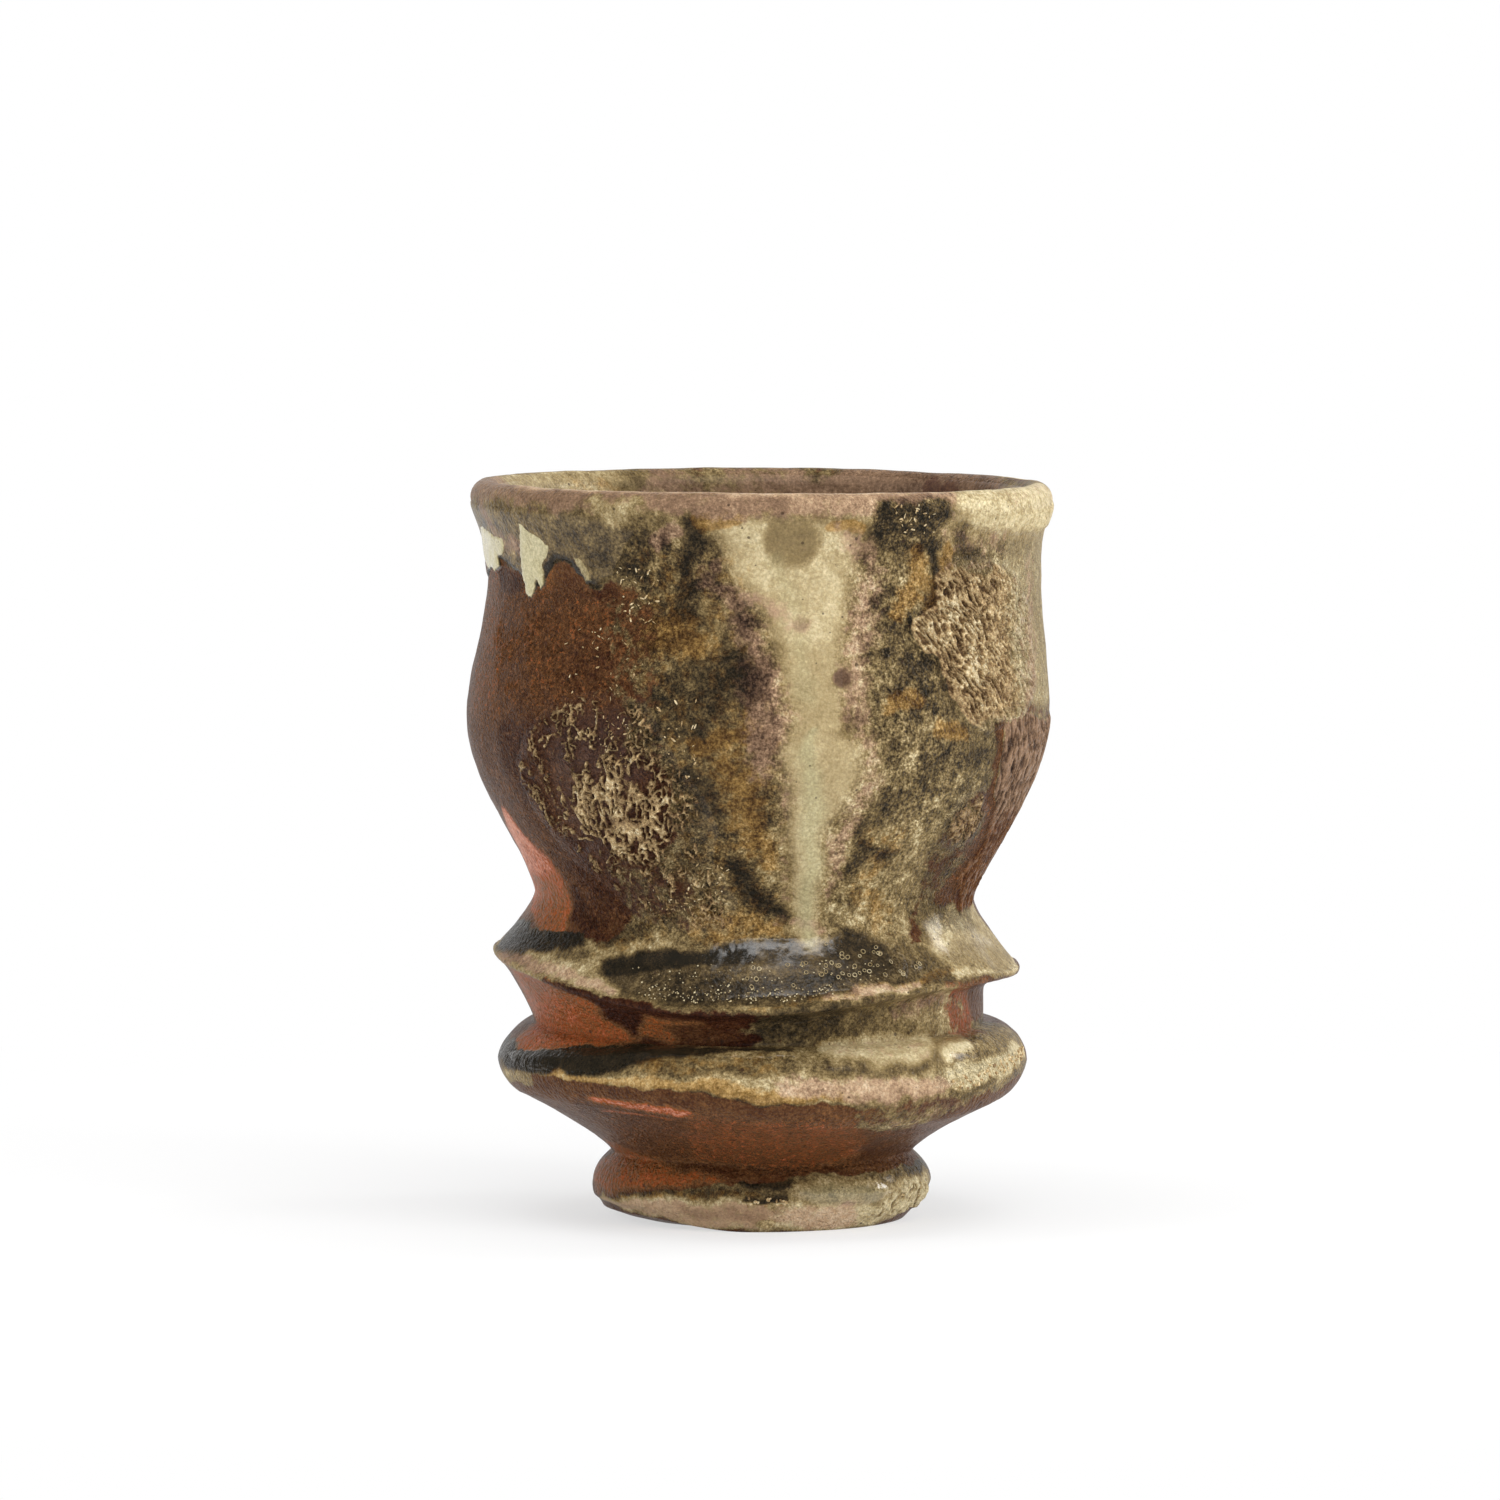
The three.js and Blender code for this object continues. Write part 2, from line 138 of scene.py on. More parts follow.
stretch("bowl", radius=26.6 * np.cos(quarter_turn) ** 0.7,
    height=mix(WAIST, BOWL_FLOOR, np.sin(quarter_turn) ** 0.9), side=1 - t)
profile = np.vstack(blocks + [[[0, BOWL_FLOOR, 0, 0, 0, 0, 0]]])
along = np.concatenate([[0], np.cumsum(np.hypot(*np.diff(profile[:, :2], axis=0).T))])
print(f"the outline is {along[-1]:.0f} mm long")


# %% [markdown]
# A place on the cup is a turn, in radians from the front towards the right, and a length along the
# outline. clay gives the point there on the even, thrown shape. surface adds the unevenness of a
# hand-made wall as a slight wave along the normal, and can lift a point off the clay, so that every
# glaze and crust later follows the same wave.

# %% Points on the clay
def reach(name, share):
    """The length along the outline at a share of one of its stretches."""
    return np.interp((order[name] + share) * STEPS, np.arange(len(along)), along)


def profile_at(length):
    return [np.interp(length, along, profile[:, i]) for i in range(len(FIELDS))]


def clay(turn, length):
    """The even shape. The flanges sag towards the front, the wall wobbles a little and the lip leans."""
    radius, height, lower, upper, rim, side, off_centre = profile_at(length)
    lower_dip = -2.4 * np.cos(turn - np.radians(24)) ** 3
    upper_dip = -4.4 * np.cos(turn + np.radians(14)) ** 3 - 1.4 * np.sin(turn)
    wobble = np.sin(2 * turn + 0.6 + height / 30) + 0.5 * np.sin(3 * turn - 1.1 - height / 22)
    out = radius + off_centre * np.sin(turn) + 0.2 * wobble * np.minimum(1, radius / 21.2)
    height = height + lower * lower_dip + upper * upper_dip - rim * 0.25 * np.sin(turn + 0.3)
    return np.stack([out * np.sin(turn) - 1.2 * side, -out * np.cos(turn), height], axis=-1)


def normals(turn, length):
    """The direction straight out of the clay."""
    around = clay(turn + 0.01, length) - clay(turn - 0.01, length)
    up = clay(turn, length + 0.15) - clay(turn, length - 0.15)
    across = np.cross(around, up)
    return across / np.maximum(np.linalg.norm(across, axis=-1, keepdims=True), 1e-9)


# %% [markdown]
# Noise drives everything that the fire left to chance. mottle is a smooth random value from 0 to 1
# over space. It is computed from whole-number corners with a fixed rule, so the cup comes out the same
# each time.

# %% Repeatable noise
def corner(cell, seed):
    number = cell[..., 0] * 73856093 ^ cell[..., 1] * 19349663 ^ cell[..., 2] * 83492791 ^ seed * 6971
    number = (number ^ (number >> 13)) * 1274126177
    return ((number ^ (number >> 16)) & 0xFFFFFF) / 0xFFFFFF


def mottle(points, size, seed=0):
    scaled = points / size
    low = np.floor(scaled).astype(np.int64)
    part = ease(scaled - low)
    total = 0
    for index in range(8):
        offset = np.array([index & 1, index >> 1 & 1, index >> 2 & 1])
        weight = np.prod(np.where(offset == 1, part, 1 - part), axis=-1)
        total = total + weight * corner(low + offset, seed)
    return total


# %% The uneven surface
def surface(turn, length, lift=0.0):
    """The clay with the waves of a hand-made wall, and with the foot's lower edge worn on the left."""
    points = clay(turn, length)
    wave = 0.34 * (mottle(points, 12, 1) - 0.5) + 0.2 * (mottle(points, 4, 2) - 0.5)
    wave = wave + 0.08 * (mottle(points, 1.5, 3) - 0.5)
    wave = wave * fade(reach("base", 0.97), reach("foot_side", 0.3), length)
    points = points + normals(turn, length) * (wave + lift)[..., None]
    left_side = fade(-0.1, -0.9, turn) * fade(-2.7, -2.0, turn)
    low_edge = fade(reach("base", 0.8), reach("base", 1), length)
    low_edge = low_edge * (1 - fade(reach("foot_side", 0.1), reach("foot_side", 0.7), length))
    points[..., 2] += 1.5 * left_side * low_edge
    return points


# %% [markdown]
# The colours are laid on like brush strokes. A stroke is placed as it shows in the front view, on a
# page 1500 units wide, and the place is carried back to the clay behind it. From there on it is
# measured along the clay, in millimetres, so it keeps its true size round the curve of the cup.

# %% From the front view to the clay
LEVEL = 36.0  # mm of clay for one radian of turn
PAGE = 1500  # units across the front view
bowl_begins = reach("lip", 0.55)  # the strokes beyond it belong to the bowl
look = (camera_aim - camera_place) / np.linalg.norm(camera_aim - camera_place)
page_right = np.array([1.0, 0.0, 0.0])
page_up = np.cross(page_right, look)
grid_turn, grid_length = np.meshgrid(np.radians(np.arange(-105, 105.1, 0.5)),
    np.arange(reach("base", 0.9), reach("lip", 0.6), 0.2), indexing="ij")
sight = clay(grid_turn, grid_length) - camera_place
grid_depth = sight @ look
grid_x = PAGE / 2 + PAGE * lens / sensor * (sight @ page_right) / grid_depth
grid_y = PAGE / 2 - PAGE * lens / sensor * (sight @ page_up) / grid_depth


def spot(x, y):
    """The place on the clay, as mm round and mm along, that shows at a place in the front view."""
    gap = np.hypot(grid_x - x, grid_y - y)
    near = gap < max(2.2, gap.min() + 0.5)
    index = np.argmin(np.where(near, grid_depth + gap, 1e9))
    return grid_turn.flat[index] * LEVEL, grid_length.flat[index]


def wall(turn, height):
    """The place at a turn in degrees and a height in mm on the outer wall, for strokes at the back."""
    first, last = reach("flange_top", 0), reach("flare", 1)
    lengths = np.linspace(first, last, 200)
    heights = profile_at(lengths)[1]
    return np.radians(turn) * LEVEL, np.interp(height, heights, lengths)


def lip_place(turn, share):
    """The place at a turn in degrees and a share of the way over the lip, from outside to inside."""
    return np.radians(turn) * LEVEL, reach("lip", share)


def bowl_place(turn, height):
    """The place at a turn in degrees and a height in mm inside the bowl."""
    lengths = np.linspace(reach("lip", 0.6), along[-1], 400)
    heights = profile_at(lengths)[1]
    return np.radians(turn) * LEVEL, np.interp(-height, -heights, lengths)


print("the middle of the front view is at", [round(float(value), 1) for value in spot(762, 850)])


# %% [markdown]
# Two kinds of stroke are enough. A line runs through points that each have a half width, and an area
# fills an outline and fades over its edge.

# %% Lines and areas
def to_segments(px, py, ax, ay, bx, by):
    dx, dy = bx - ax, by - ay
    share = np.clip(((px - ax) * dx + (py - ay) * dy) / max(dx * dx + dy * dy, 1e-9), 0, 1)
    return np.hypot(px - ax - share * dx, py - ay - share * dy), share


def line_cover(x, y, points, softness):
    """How much a line covers a place, from 0 to 1."""
    cover = np.zeros_like(x)
    ends = points if len(points) > 1 else points * 2
    for (ax, ay, aw), (bx, by, bw) in zip(ends, ends[1:]):
        gap, share = to_segments(x, y, ax, ay, bx, by)
        width = mix(aw, bw, share)
        cover = np.maximum(cover, 1 - fade(1 - softness, 1 + softness, gap / width))
    return cover


def area_depth(x, y, points):
    """How far inside an outline a place is, in mm, and negative outside it."""
    inside = np.zeros(x.shape, bool)
    nearest = np.full(x.shape, 1e9)
    for (ax, ay), (bx, by) in zip(points, points[1:] + points[:1]):
        nearest = np.minimum(nearest, to_segments(x, y, ax, ay, bx, by)[0])
        if ay != by:
            inside ^= ((ay > y) != (by > y)) & (x < (bx - ax) * (y - ay) / (by - ay) + ax)
    return np.where(inside, nearest, -nearest)


UNIT = 1 / 7.2  # mm on the cup for one unit of the page


def placed(points, finder=spot):
    """A stroke's points on the clay. A third number is a half width in units of the page."""
    return [(*finder(x, y), *(width * UNIT for width in rest)) for x, y, *rest in points]


# %% [markdown]
# The colours are painted as a few soft fields on the clay, the way a kiln lays them. "ash" says where
# melted ash covers the clay. "tone" runs from black glass over olive and khaki to cream, and "clay" from
# dark plum over rust to salmon. "ochre", "pink", "mauve" and "celadon" tint them, and "crust" turns the
# ash dull and golden. Of these tints, the greyish one is in most places the clay's own colour, and on the
# cup's left edge and on the left of the cone under the lower flange it is partly a painted sheen.
# "mottling" says how much a place is broken up into speckle, "leather" draws fine lines on it, dark cracks
# above zero and light curls below it, which follow the small relief and so are partly painted shade and
# highlight, "dots" adds small dark dots and "gloss" a wet shine. Each stroke pulls one field towards a
# value, from broad washes to small marks. A few strokes of "tone" and "clay" are painted highlights,
# sheen and shade.

# %% The fields and what the bare clay starts with
START = {"clay": 0.42, "ash": -0.1, "tone": 0.45, "ochre": 0.0, "pink": 0.0, "mauve": 0.0, "mottling": 0.5,
    "leather": 0.2, "dots": 0.0, "crust": 0.0, "gloss": 0.0, "celadon": 0.0}
strokes = {field: [] for field in START}


def paint(field, *given, finder=spot):
    """Each stroke is a value, a strength, a softness in mm (or a share of a line's width) and its points."""
    for value, strength, softness, *points in given:
        points = placed(points, finder)
        strokes[field].append((value, strength, softness, points, points[0][1] > bowl_begins))


# %% The bare clay
paint(
    "clay",
    (0.52, 1, 3, (470, 560), (600, 560), (640, 600), (640, 700), (590, 720), (470, 720)),
    (0.22, 0.8, 3, (500, 712), (560, 700), (640, 700), (690, 760), (720, 860), (725, 930), (640, 935),
        (598, 915), (572, 870), (545, 820), (505, 770)),
    (0.32, 0.8, 0.8, (600, 600, 16), (630, 640, 20), (620, 690, 16)),
    (0.42, 1, 0.7, (500, 568, 12), (512, 585, 15), (516, 600, 8)),
    (0.68, 0.9, 0.9, (550, 575, 8), (566, 592, 16), (590, 612, 10)),
    (0.3, 0.8, 0.6, (588, 595, 8), (606, 592, 8)),
    (0.98, 1, 0.45, (500, 806), (523, 833), (542, 852), (556, 872), (563, 893), (567, 912), (568, 927),
        (560, 937), (544, 927), (530, 912), (529, 891), (525, 872), (517, 855), (502, 832)),
    (0.18, 1, 0.4, (574, 890, 5), (580, 912, 11), (590, 925, 12)),
    (0.4, 0.7, 0.8, (620, 925, 12), (700, 930, 12)),
    (0.46, 1, 2, (990, 712), (1050, 700), (1050, 770), (1014, 830), (985, 875), (978, 925), (925, 930),
        (915, 880), (950, 845), (985, 790)),
    (0.34, 0.8, 0.8, (985, 800, 14), (960, 850, 14), (935, 900, 14)),
    (0.62, 0.8, 0.7, (965, 890, 12), (975, 915, 10)),
    (0.7, 1, 1, (505, 958), (560, 975), (600, 1000), (640, 1010), (640, 1045), (510, 1048), (500, 1000)),
    (0.82, 0.8, 0.8, (540, 1018, 18), (580, 1030, 20), (600, 1040, 8)),
    # The groove under the upper flange: dark maroon clay, and darker as painted shade under the flange.
    (0.12, 1, 1.5, (606, 1002), (700, 1010), (780, 1010), (780, 1046), (690, 1048), (615, 1044), (600, 1020)),
    # A painted shadow: a dark line just under the upper flange's left lip.
    (0.25, 0.9, 0.5, (540, 982, 4), (590, 998, 7), (640, 1008, 8)),
    (0.3, 0.7, 0.7, (790, 1020, 24), (860, 1012, 24)),
    (0.6, 1, 1.5, (940, 985), (985, 980), (990, 1030), (935, 1035)),
    (0.46, 1, 1.5, (500, 1075), (640, 1095), (780, 1108), (960, 1095), (1030, 1060), (940, 1130), (900, 1165),
        (800, 1182), (700, 1172), (610, 1140), (560, 1110)),
    (0.62, 0.9, 0.6, (580, 1100, 5), (640, 1110, 9), (700, 1117, 5)),
    (0.34, 0.9, 0.7, (700, 1140, 12), (780, 1155, 12), (870, 1150, 10)),
    (0.24, 0.9, 0.6, (690, 1166, 6), (770, 1176, 7), (850, 1172, 5)),
    (0.68, 1, 0.8, (600, 1140), (643, 1153), (677, 1165), (716, 1178), (728, 1186), (677, 1187), (628, 1191),
        (598, 1197), (592, 1170)),
    (0.78, 0.7, 0.7, (640, 1176, 6), (690, 1181, 4)),
)
paint(
    "mauve",
    # The greyish line down the left edge is partly the clay's own colour and partly a painted sheen.
    (0.55, 1, 1, (478, 620, 14), (470, 700, 14), (480, 780, 14), (505, 850, 10)),
    (0.5, 1, 2.5, (514, 715), (600, 710), (650, 760), (600, 860), (540, 800)),
    (0.35, 0.8, 0.8, (640, 900, 24), (700, 925, 14)),
    (0, 1, 0.8, (555, 905, 16), (580, 915, 12), (560, 595, 24), (512, 585, 16)),
    (0.5, 0.9, 0.8, (520, 968, 12), (540, 985, 12)),
    (0.55, 1, 0.8, (960, 1000, 22), (975, 1025, 16)),
    # The greyish left of the cone is partly its own colour and partly a painted sheen.
    (0.7, 1, 0.8, (520, 1088, 10), (560, 1112, 14), (600, 1132, 12)),
    (0.35, 0.9, 0.8, (640, 1125, 14), (700, 1135, 12)),
    (0.55, 1, 0.9, (900, 1125, 22), (950, 1100, 18), (860, 1150, 12)),
    (0.45, 1, 0.9, (1025, 740, 18), (1010, 800, 18), (985, 860, 14)),
)

# %% Where the ash lies
paint(
    "ash",
    (1, 1, 1.6, (470, 470), (1060, 470), (1056, 690), (1046, 708), (1010, 712), (993, 724), (991, 786),
        (962, 800), (936, 850), (920, 900), (912, 938), (1030, 950), (1030, 975), (985, 978), (930, 990),
        (860, 1004), (790, 1010), (700, 1011), (640, 1004), (590, 992), (540, 976), (490, 948), (520, 928),
        (600, 938), (620, 930), (650, 880), (672, 850), (676, 800), (655, 755), (622, 745), (622, 700),
        (640, 655), (652, 610), (632, 584), (596, 586), (582, 578), (570, 561), (546, 562), (540, 585),
        (532, 599), (522, 570), (505, 560), (470, 556)),
    (0.62, 0.8, 1.5, (600, 870), (640, 850), (700, 860), (700, 930), (640, 925)),
    (0.55, 0.7, 0.9, (640, 600, 14), (640, 650, 12)),
    (1, 1, 0.6, (545, 566, 3.5), (556, 560, 3.5), (567, 562, 3.5), (578, 575, 3.5), (584, 584, 3.5),
        (596, 587, 3.5)),
    (1, 1, 2, (770, 1004), (860, 1004), (930, 992), (945, 1000), (940, 1036), (760, 1046), (744, 1030)),
    (1, 1, 0.8, (502, 1052), (560, 1046), (640, 1044), (760, 1044), (940, 1034), (985, 1012), (1015, 1022),
        (1030, 1058), (1005, 1085), (960, 1098), (880, 1108), (800, 1106), (700, 1098), (600, 1086),
        (552, 1078), (508, 1070)),
    (0.75, 0.8, 1.5, (850, 1106), (960, 1098), (1010, 1078), (960, 1110), (900, 1130), (850, 1130)),
    (1, 1, 0.7, (596, 1200), (640, 1192), (700, 1190), (760, 1180), (830, 1174), (880, 1168), (925, 1150),
        (940, 1165), (925, 1205), (880, 1228), (780, 1236), (690, 1230), (620, 1218)),
)

# %% The tone of the ash, from black glass to cream
paint(
    "tone",
    (0.62, 1, 1, (478, 484), (560, 492), (560, 506), (480, 505)),
    (0.42, 0.9, 0.8, (500, 508, 9), (514, 512, 8)),
    (0.52, 0.9, 0.8, (500, 535, 10), (515, 548, 8)),
    (0.72, 0.9, 0.9, (585, 504, 8), (615, 512, 14), (640, 505, 8)),
    (0.38, 0.9, 0.9, (560, 540, 16), (600, 550, 14)),
    (0.3, 0.9, 0.9, (612, 562, 12), (640, 560, 16), (655, 580, 12)),
    (0.64, 0.9, 1, (650, 512, 10), (700, 505, 10)),
    (0.68, 1, 0.6, (520, 496, 6), (700, 500, 9), (800, 503, 12), (880, 505, 14)),
    (0.82, 0.8, 0.7, (850, 507, 10), (885, 502, 8)),
    (0.36, 0.8, 2.5, (650, 545), (700, 540), (745, 610), (760, 700), (720, 730), (660, 730), (650, 640)),
    (0.1, 1, 0.7, (692, 517, 6), (696, 535, 9), (689, 565, 7), (688, 600, 6)),
    (0.15, 0.9, 0.8, (666, 536, 3.5), (667, 552, 3.5)),
    (0.1, 0.9, 0.9, (682, 604, 9), (684, 622, 12), (680, 636, 8)),
    (0.64, 1, 0.6, (654, 532, 4), (657, 562, 5)),
    (0.66, 1, 0.6, (673, 516, 5), (676, 545, 5)),
    (0.52, 0.9, 0.8, (655, 636, 14), (670, 630, 16), (700, 645, 12)),
    (0.52, 0.7, 1, (712, 610, 16), (722, 640, 14)),
    (0.06, 1, 0.9, (738, 652, 10), (744, 676, 16), (752, 702, 9)),
    (0.18, 0.9, 0.9, (728, 668, 10), (704, 700, 18), (696, 730, 12)),
    (0.28, 0.8, 0.9, (664, 690, 12), (660, 745, 12)),
    (0.62, 0.9, 0.8, (742, 712, 16), (768, 722, 12)),
    (0.55, 1, 0.6, (694, 746, 5), (720, 738, 8), (742, 738, 6)),
    (0.2, 0.9, 0.9, (672, 770, 10), (700, 785, 16), (718, 810, 10)),
    (0.3, 0.8, 1, (700, 830, 20), (730, 850, 20), (690, 860, 12)),
    (0.58, 1, 0.9, (724, 765, 12), (745, 790, 20), (738, 820, 12), (765, 840, 12), (772, 870, 10)),
    (0.26, 0.9, 0.8, (762, 800, 12), (764, 820, 9)),
    (0.12, 1, 0.8, (730, 860, 7), (748, 888, 12), (772, 906, 12), (790, 920, 8)),
    (0.58, 1, 0.8, (700, 925, 12), (740, 928, 14), (775, 930, 12)),
    (0.4, 1, 0.8, (660, 890, 24), (700, 900, 14)),
    (0.64, 0.9, 1, (838, 560, 14), (858, 600, 16), (850, 650, 14), (845, 700, 10)),
    (0.64, 0.9, 1, (728, 600, 9), (752, 630, 12), (772, 670, 10), (775, 720, 12)),
    (0.64, 0.9, 0.9, (850, 750, 14), (872, 762, 14), (860, 800, 10), (842, 840, 12), (832, 880, 8)),
    (0.2, 0.9, 0.8, (744, 604, 7), (750, 626, 8)),
    (0.22, 0.8, 0.8, (760, 660, 6), (766, 690, 6)),
    (0.45, 1, 1.5, (868, 600), (905, 570), (935, 610), (935, 700), (900, 740), (865, 720), (860, 660)),
    (0.32, 0.7, 0.9, (878, 600, 8), (888, 630, 10), (900, 660, 10)),
    (0.06, 1, 0.7, (890, 512, 10), (910, 504, 12), (934, 508, 14), (930, 528, 10), (905, 530, 8)),
    (0.3, 0.8, 0.9, (880, 530, 10), (905, 545, 12)),
    (0.3, 0.9, 0.9, (966, 532, 10), (972, 556, 9)),
    (0.58, 1, 0.8, (916, 556, 14), (914, 585, 14), (900, 610, 10)),
    (0.58, 1, 0.8, (948, 552, 10), (944, 568, 8)),
    # A painted shadow: a dark line beside the raised left edge of the right crust.
    (0.2, 1, 0.6, (935, 540, 3), (935, 575, 3), (936, 604, 4)),
    (0.2, 0.9, 0.7, (928, 598, 7), (940, 592, 6)),
    (0.26, 0.9, 1, (915, 668, 18), (925, 690, 18), (912, 722, 10)),
    (0.5, 1, 0.8, (888, 705, 7), (905, 702, 9), (918, 704, 6)),
    (0.52, 1, 0.8, (944, 728, 8), (962, 730, 9)),
    (0.26, 1, 0.9, (930, 755, 20), (955, 752, 20), (978, 758, 12)),
    (0.2, 0.9, 0.9, (892, 735, 9), (886, 760, 6)),
    (0.2, 1, 0.9, (898, 802, 14), (885, 818, 10), (925, 782, 14)),
    (0.62, 0.9, 0.8, (918, 742, 5), (906, 770, 6)),
    (0.62, 0.9, 1, (966, 790, 10), (950, 812, 10)),
    (0.62, 1, 1, (868, 838, 12), (900, 836, 16), (930, 838, 12)),
    (0.68, 1, 1.2, (828, 880), (870, 868), (912, 872), (915, 936), (826, 938)),
    (0.18, 0.9, 0.9, (858, 826, 6), (863, 844, 7), (878, 857, 8)),
    (0.22, 0.9, 0.9, (852, 866, 8), (850, 884, 9), (856, 898, 6)),
    # A painted highlight: the ash on the upper flange's right made pale cream where it shines.
    (0.8, 1, 0.8, (935, 925, 10), (948, 936, 14)),
    # The right edge's tan ash, partly its own colour and partly a painted sheen.
    (0.78, 1, 1.5, (1000, 520), (1056, 520), (1056, 700), (1015, 708), (1005, 640), (990, 560)),
    (0.64, 0.9, 1.5, (960, 500), (1056, 505), (1056, 545), (990, 556), (965, 530)),
    (0.93, 1, 0.9, (950, 478), (1056, 476), (1056, 508), (1000, 512), (955, 506)),
    (0.79, 1, 1.8, (708, 524), (765, 515), (826, 522), (860, 534), (856, 562), (850, 587), (844, 623),
        (840, 655), (836, 695), (834, 712), (842, 740), (858, 752), (862, 764), (856, 778), (848, 806),
        (828, 816), (820, 836), (820, 875), (819, 905), (820, 940), (797, 940), (795, 893), (790, 845),
        (788, 812), (788, 772), (786, 750), (792, 722), (790, 690), (780, 650), (764, 622), (747, 604),
        (732, 575), (720, 546)),
    (0.8, 0.8, 0.9, (798, 720, 9), (800, 760, 8), (796, 800, 6)),
    (0.8, 1, 0.9, (812, 735, 8), (812, 800, 10), (812, 860, 11), (809, 936, 12)),
    (0.85, 0.8, 1, (830, 580, 16), (818, 630, 12)),
    (0.6, 0.95, 0.25, (792, 541, 25)),
    (0.66, 0.9, 0.5, (802, 624, 6.5)),
    (0.14, 0.95, 0.35, (841.5, 678, 8.6)),
    (0.5, 0.9, 0.7, (704, 520, 7), (722, 514, 9), (742, 511, 5)),
    (0.06, 1, 0.6, (500, 558, 3.5), (508, 564, 3.5)),
    (0.06, 1, 0.6, (545, 566, 3.5), (556, 560, 3.5), (567, 562, 3.5), (578, 575, 3.5), (584, 584, 3.5),
        (596, 587, 3.5)),
)

# %% The tone on the flanges and the foot
paint(
    "tone",
    (0.66, 1, 1, (490, 930), (660, 936), (700, 950), (612, 966), (620, 998), (540, 976), (488, 946)),
    (0.84, 1, 0.5, (500, 950, 6), (540, 962, 8), (580, 976, 9), (614, 990, 6)),
    (0.06, 1, 0.35, (512, 944, 5), (530, 940, 10), (560, 938, 9), (576, 938, 7)),
    (0.45, 0.8, 0.8, (560, 956, 5), (590, 952, 7)),
    (0.22, 1, 1, (604, 964), (650, 955), (740, 945), (820, 941), (880, 940), (905, 955), (925, 966),
        (900, 984), (850, 991), (760, 1001), (690, 1001), (630, 994), (610, 982)),
    (0.04, 1, 0.5, (612, 966, 5), (660, 964, 7), (720, 958, 8), (752, 955, 5)),
    (0.38, 0.9, 0.8, (700, 985, 10), (760, 978, 14), (800, 972, 12)),
    (0.16, 1, 0.8, (836, 948, 10), (862, 944, 12), (868, 958, 12), (850, 975, 8)),
    (0.4, 0.8, 0.8, (900, 968, 10), (935, 965, 10)),
    (0.72, 1, 1, (920, 942), (1000, 945), (1024, 958), (1014, 974), (960, 976), (938, 960)),
    (0.82, 1, 0.5, (826, 998, 4), (870, 993, 6), (918, 984, 5)),
    (0.5, 0.9, 0.5, (700, 1006, 3), (790, 1006, 3)),
    (0.8, 0.9, 0.5, (744, 1006, 4), (765, 1006, 4)),
    (0.3, 0.9, 0.6, (925, 980, 4), (955, 974, 4)),
    (0.9, 1, 0.5, (955, 972, 4), (990, 968, 5), (1020, 962, 8)),
    # The groove under the middle of the upper flange: dark olive ash, partly painted shade.
    (0.22, 1, 1.5, (750, 1008), (850, 1004), (850, 1030), (750, 1044)),
    (0.4, 1, 1.5, (850, 1004), (900, 998), (905, 1030), (840, 1036)),
    (0.56, 1, 1.5, (895, 1000), (945, 990), (945, 1034), (890, 1034)),
    (0.5, 1, 0.8, (504, 1050), (700, 1046), (940, 1036), (1030, 1030), (1030, 1080), (800, 1106), (600, 1088),
        (508, 1070)),
    (0.05, 1, 0.35, (506, 1054, 5), (530, 1062, 10), (570, 1062, 12), (600, 1058, 10), (640, 1052, 6),
        (720, 1050, 4), (790, 1051, 4)),
    (0.76, 1, 0.5, (545, 1076, 4), (600, 1080, 5), (660, 1084, 6), (740, 1086, 6), (800, 1086, 6)),
    (0.6, 1, 0.5, (700, 1092, 4), (770, 1098, 5), (850, 1103, 4)),
    # A painted shadow: a dark line where the lower flange's lip turns under.
    (0.15, 1, 0.5, (660, 1097, 2.5), (720, 1101, 3.5), (790, 1107, 3.5)),
    (0.8, 1, 0.9, (826, 1046, 8), (870, 1044, 10), (920, 1042, 10)),
    (0.45, 1, 0.8, (820, 1058, 5), (860, 1066, 8), (915, 1066, 7), (950, 1056, 5)),
    (0.78, 1, 0.8, (780, 1088, 8), (860, 1088, 13), (930, 1086, 12), (960, 1082, 8)),
    (0.84, 1, 0.6, (945, 1080, 6), (985, 1070, 9), (1012, 1056, 9), (1024, 1044, 6)),
    (0.4, 0.9, 0.7, (955, 1092, 5), (985, 1086, 5)),
    (0.62, 1, 1.2, (860, 1110), (960, 1098), (1010, 1076), (950, 1118), (880, 1130)),
    (0.4, 0.8, 0.8, (850, 1116, 8), (920, 1112, 8)),
    (0.74, 1, 0.8, (596, 1202), (660, 1198), (760, 1200), (900, 1190), (930, 1180), (925, 1205), (880, 1228),
        (780, 1236), (690, 1230), (620, 1218)),
    (0.3, 1, 0.5, (605, 1196, 3), (660, 1192, 5), (730, 1194, 5), (785, 1198, 4)),
    (0.14, 1, 0.4, (745, 1201, 2), (765, 1203, 3), (785, 1201, 2)),
    (0.1, 1, 0.6, (742, 1181, 5), (780, 1181, 7), (800, 1185, 4)),
    (0.5, 1, 0.7, (800, 1172, 5), (860, 1170, 6), (900, 1160, 6)),
    (0.8, 1, 0.8, (800, 1194, 8), (840, 1194, 11), (880, 1190, 10), (900, 1186, 6)),
    (0.86, 1, 0.7, (800, 1214, 7), (850, 1216, 9), (900, 1204, 8)),
    (0.8, 1, 0.6, (928, 1170, 5), (926, 1195, 6)),
)

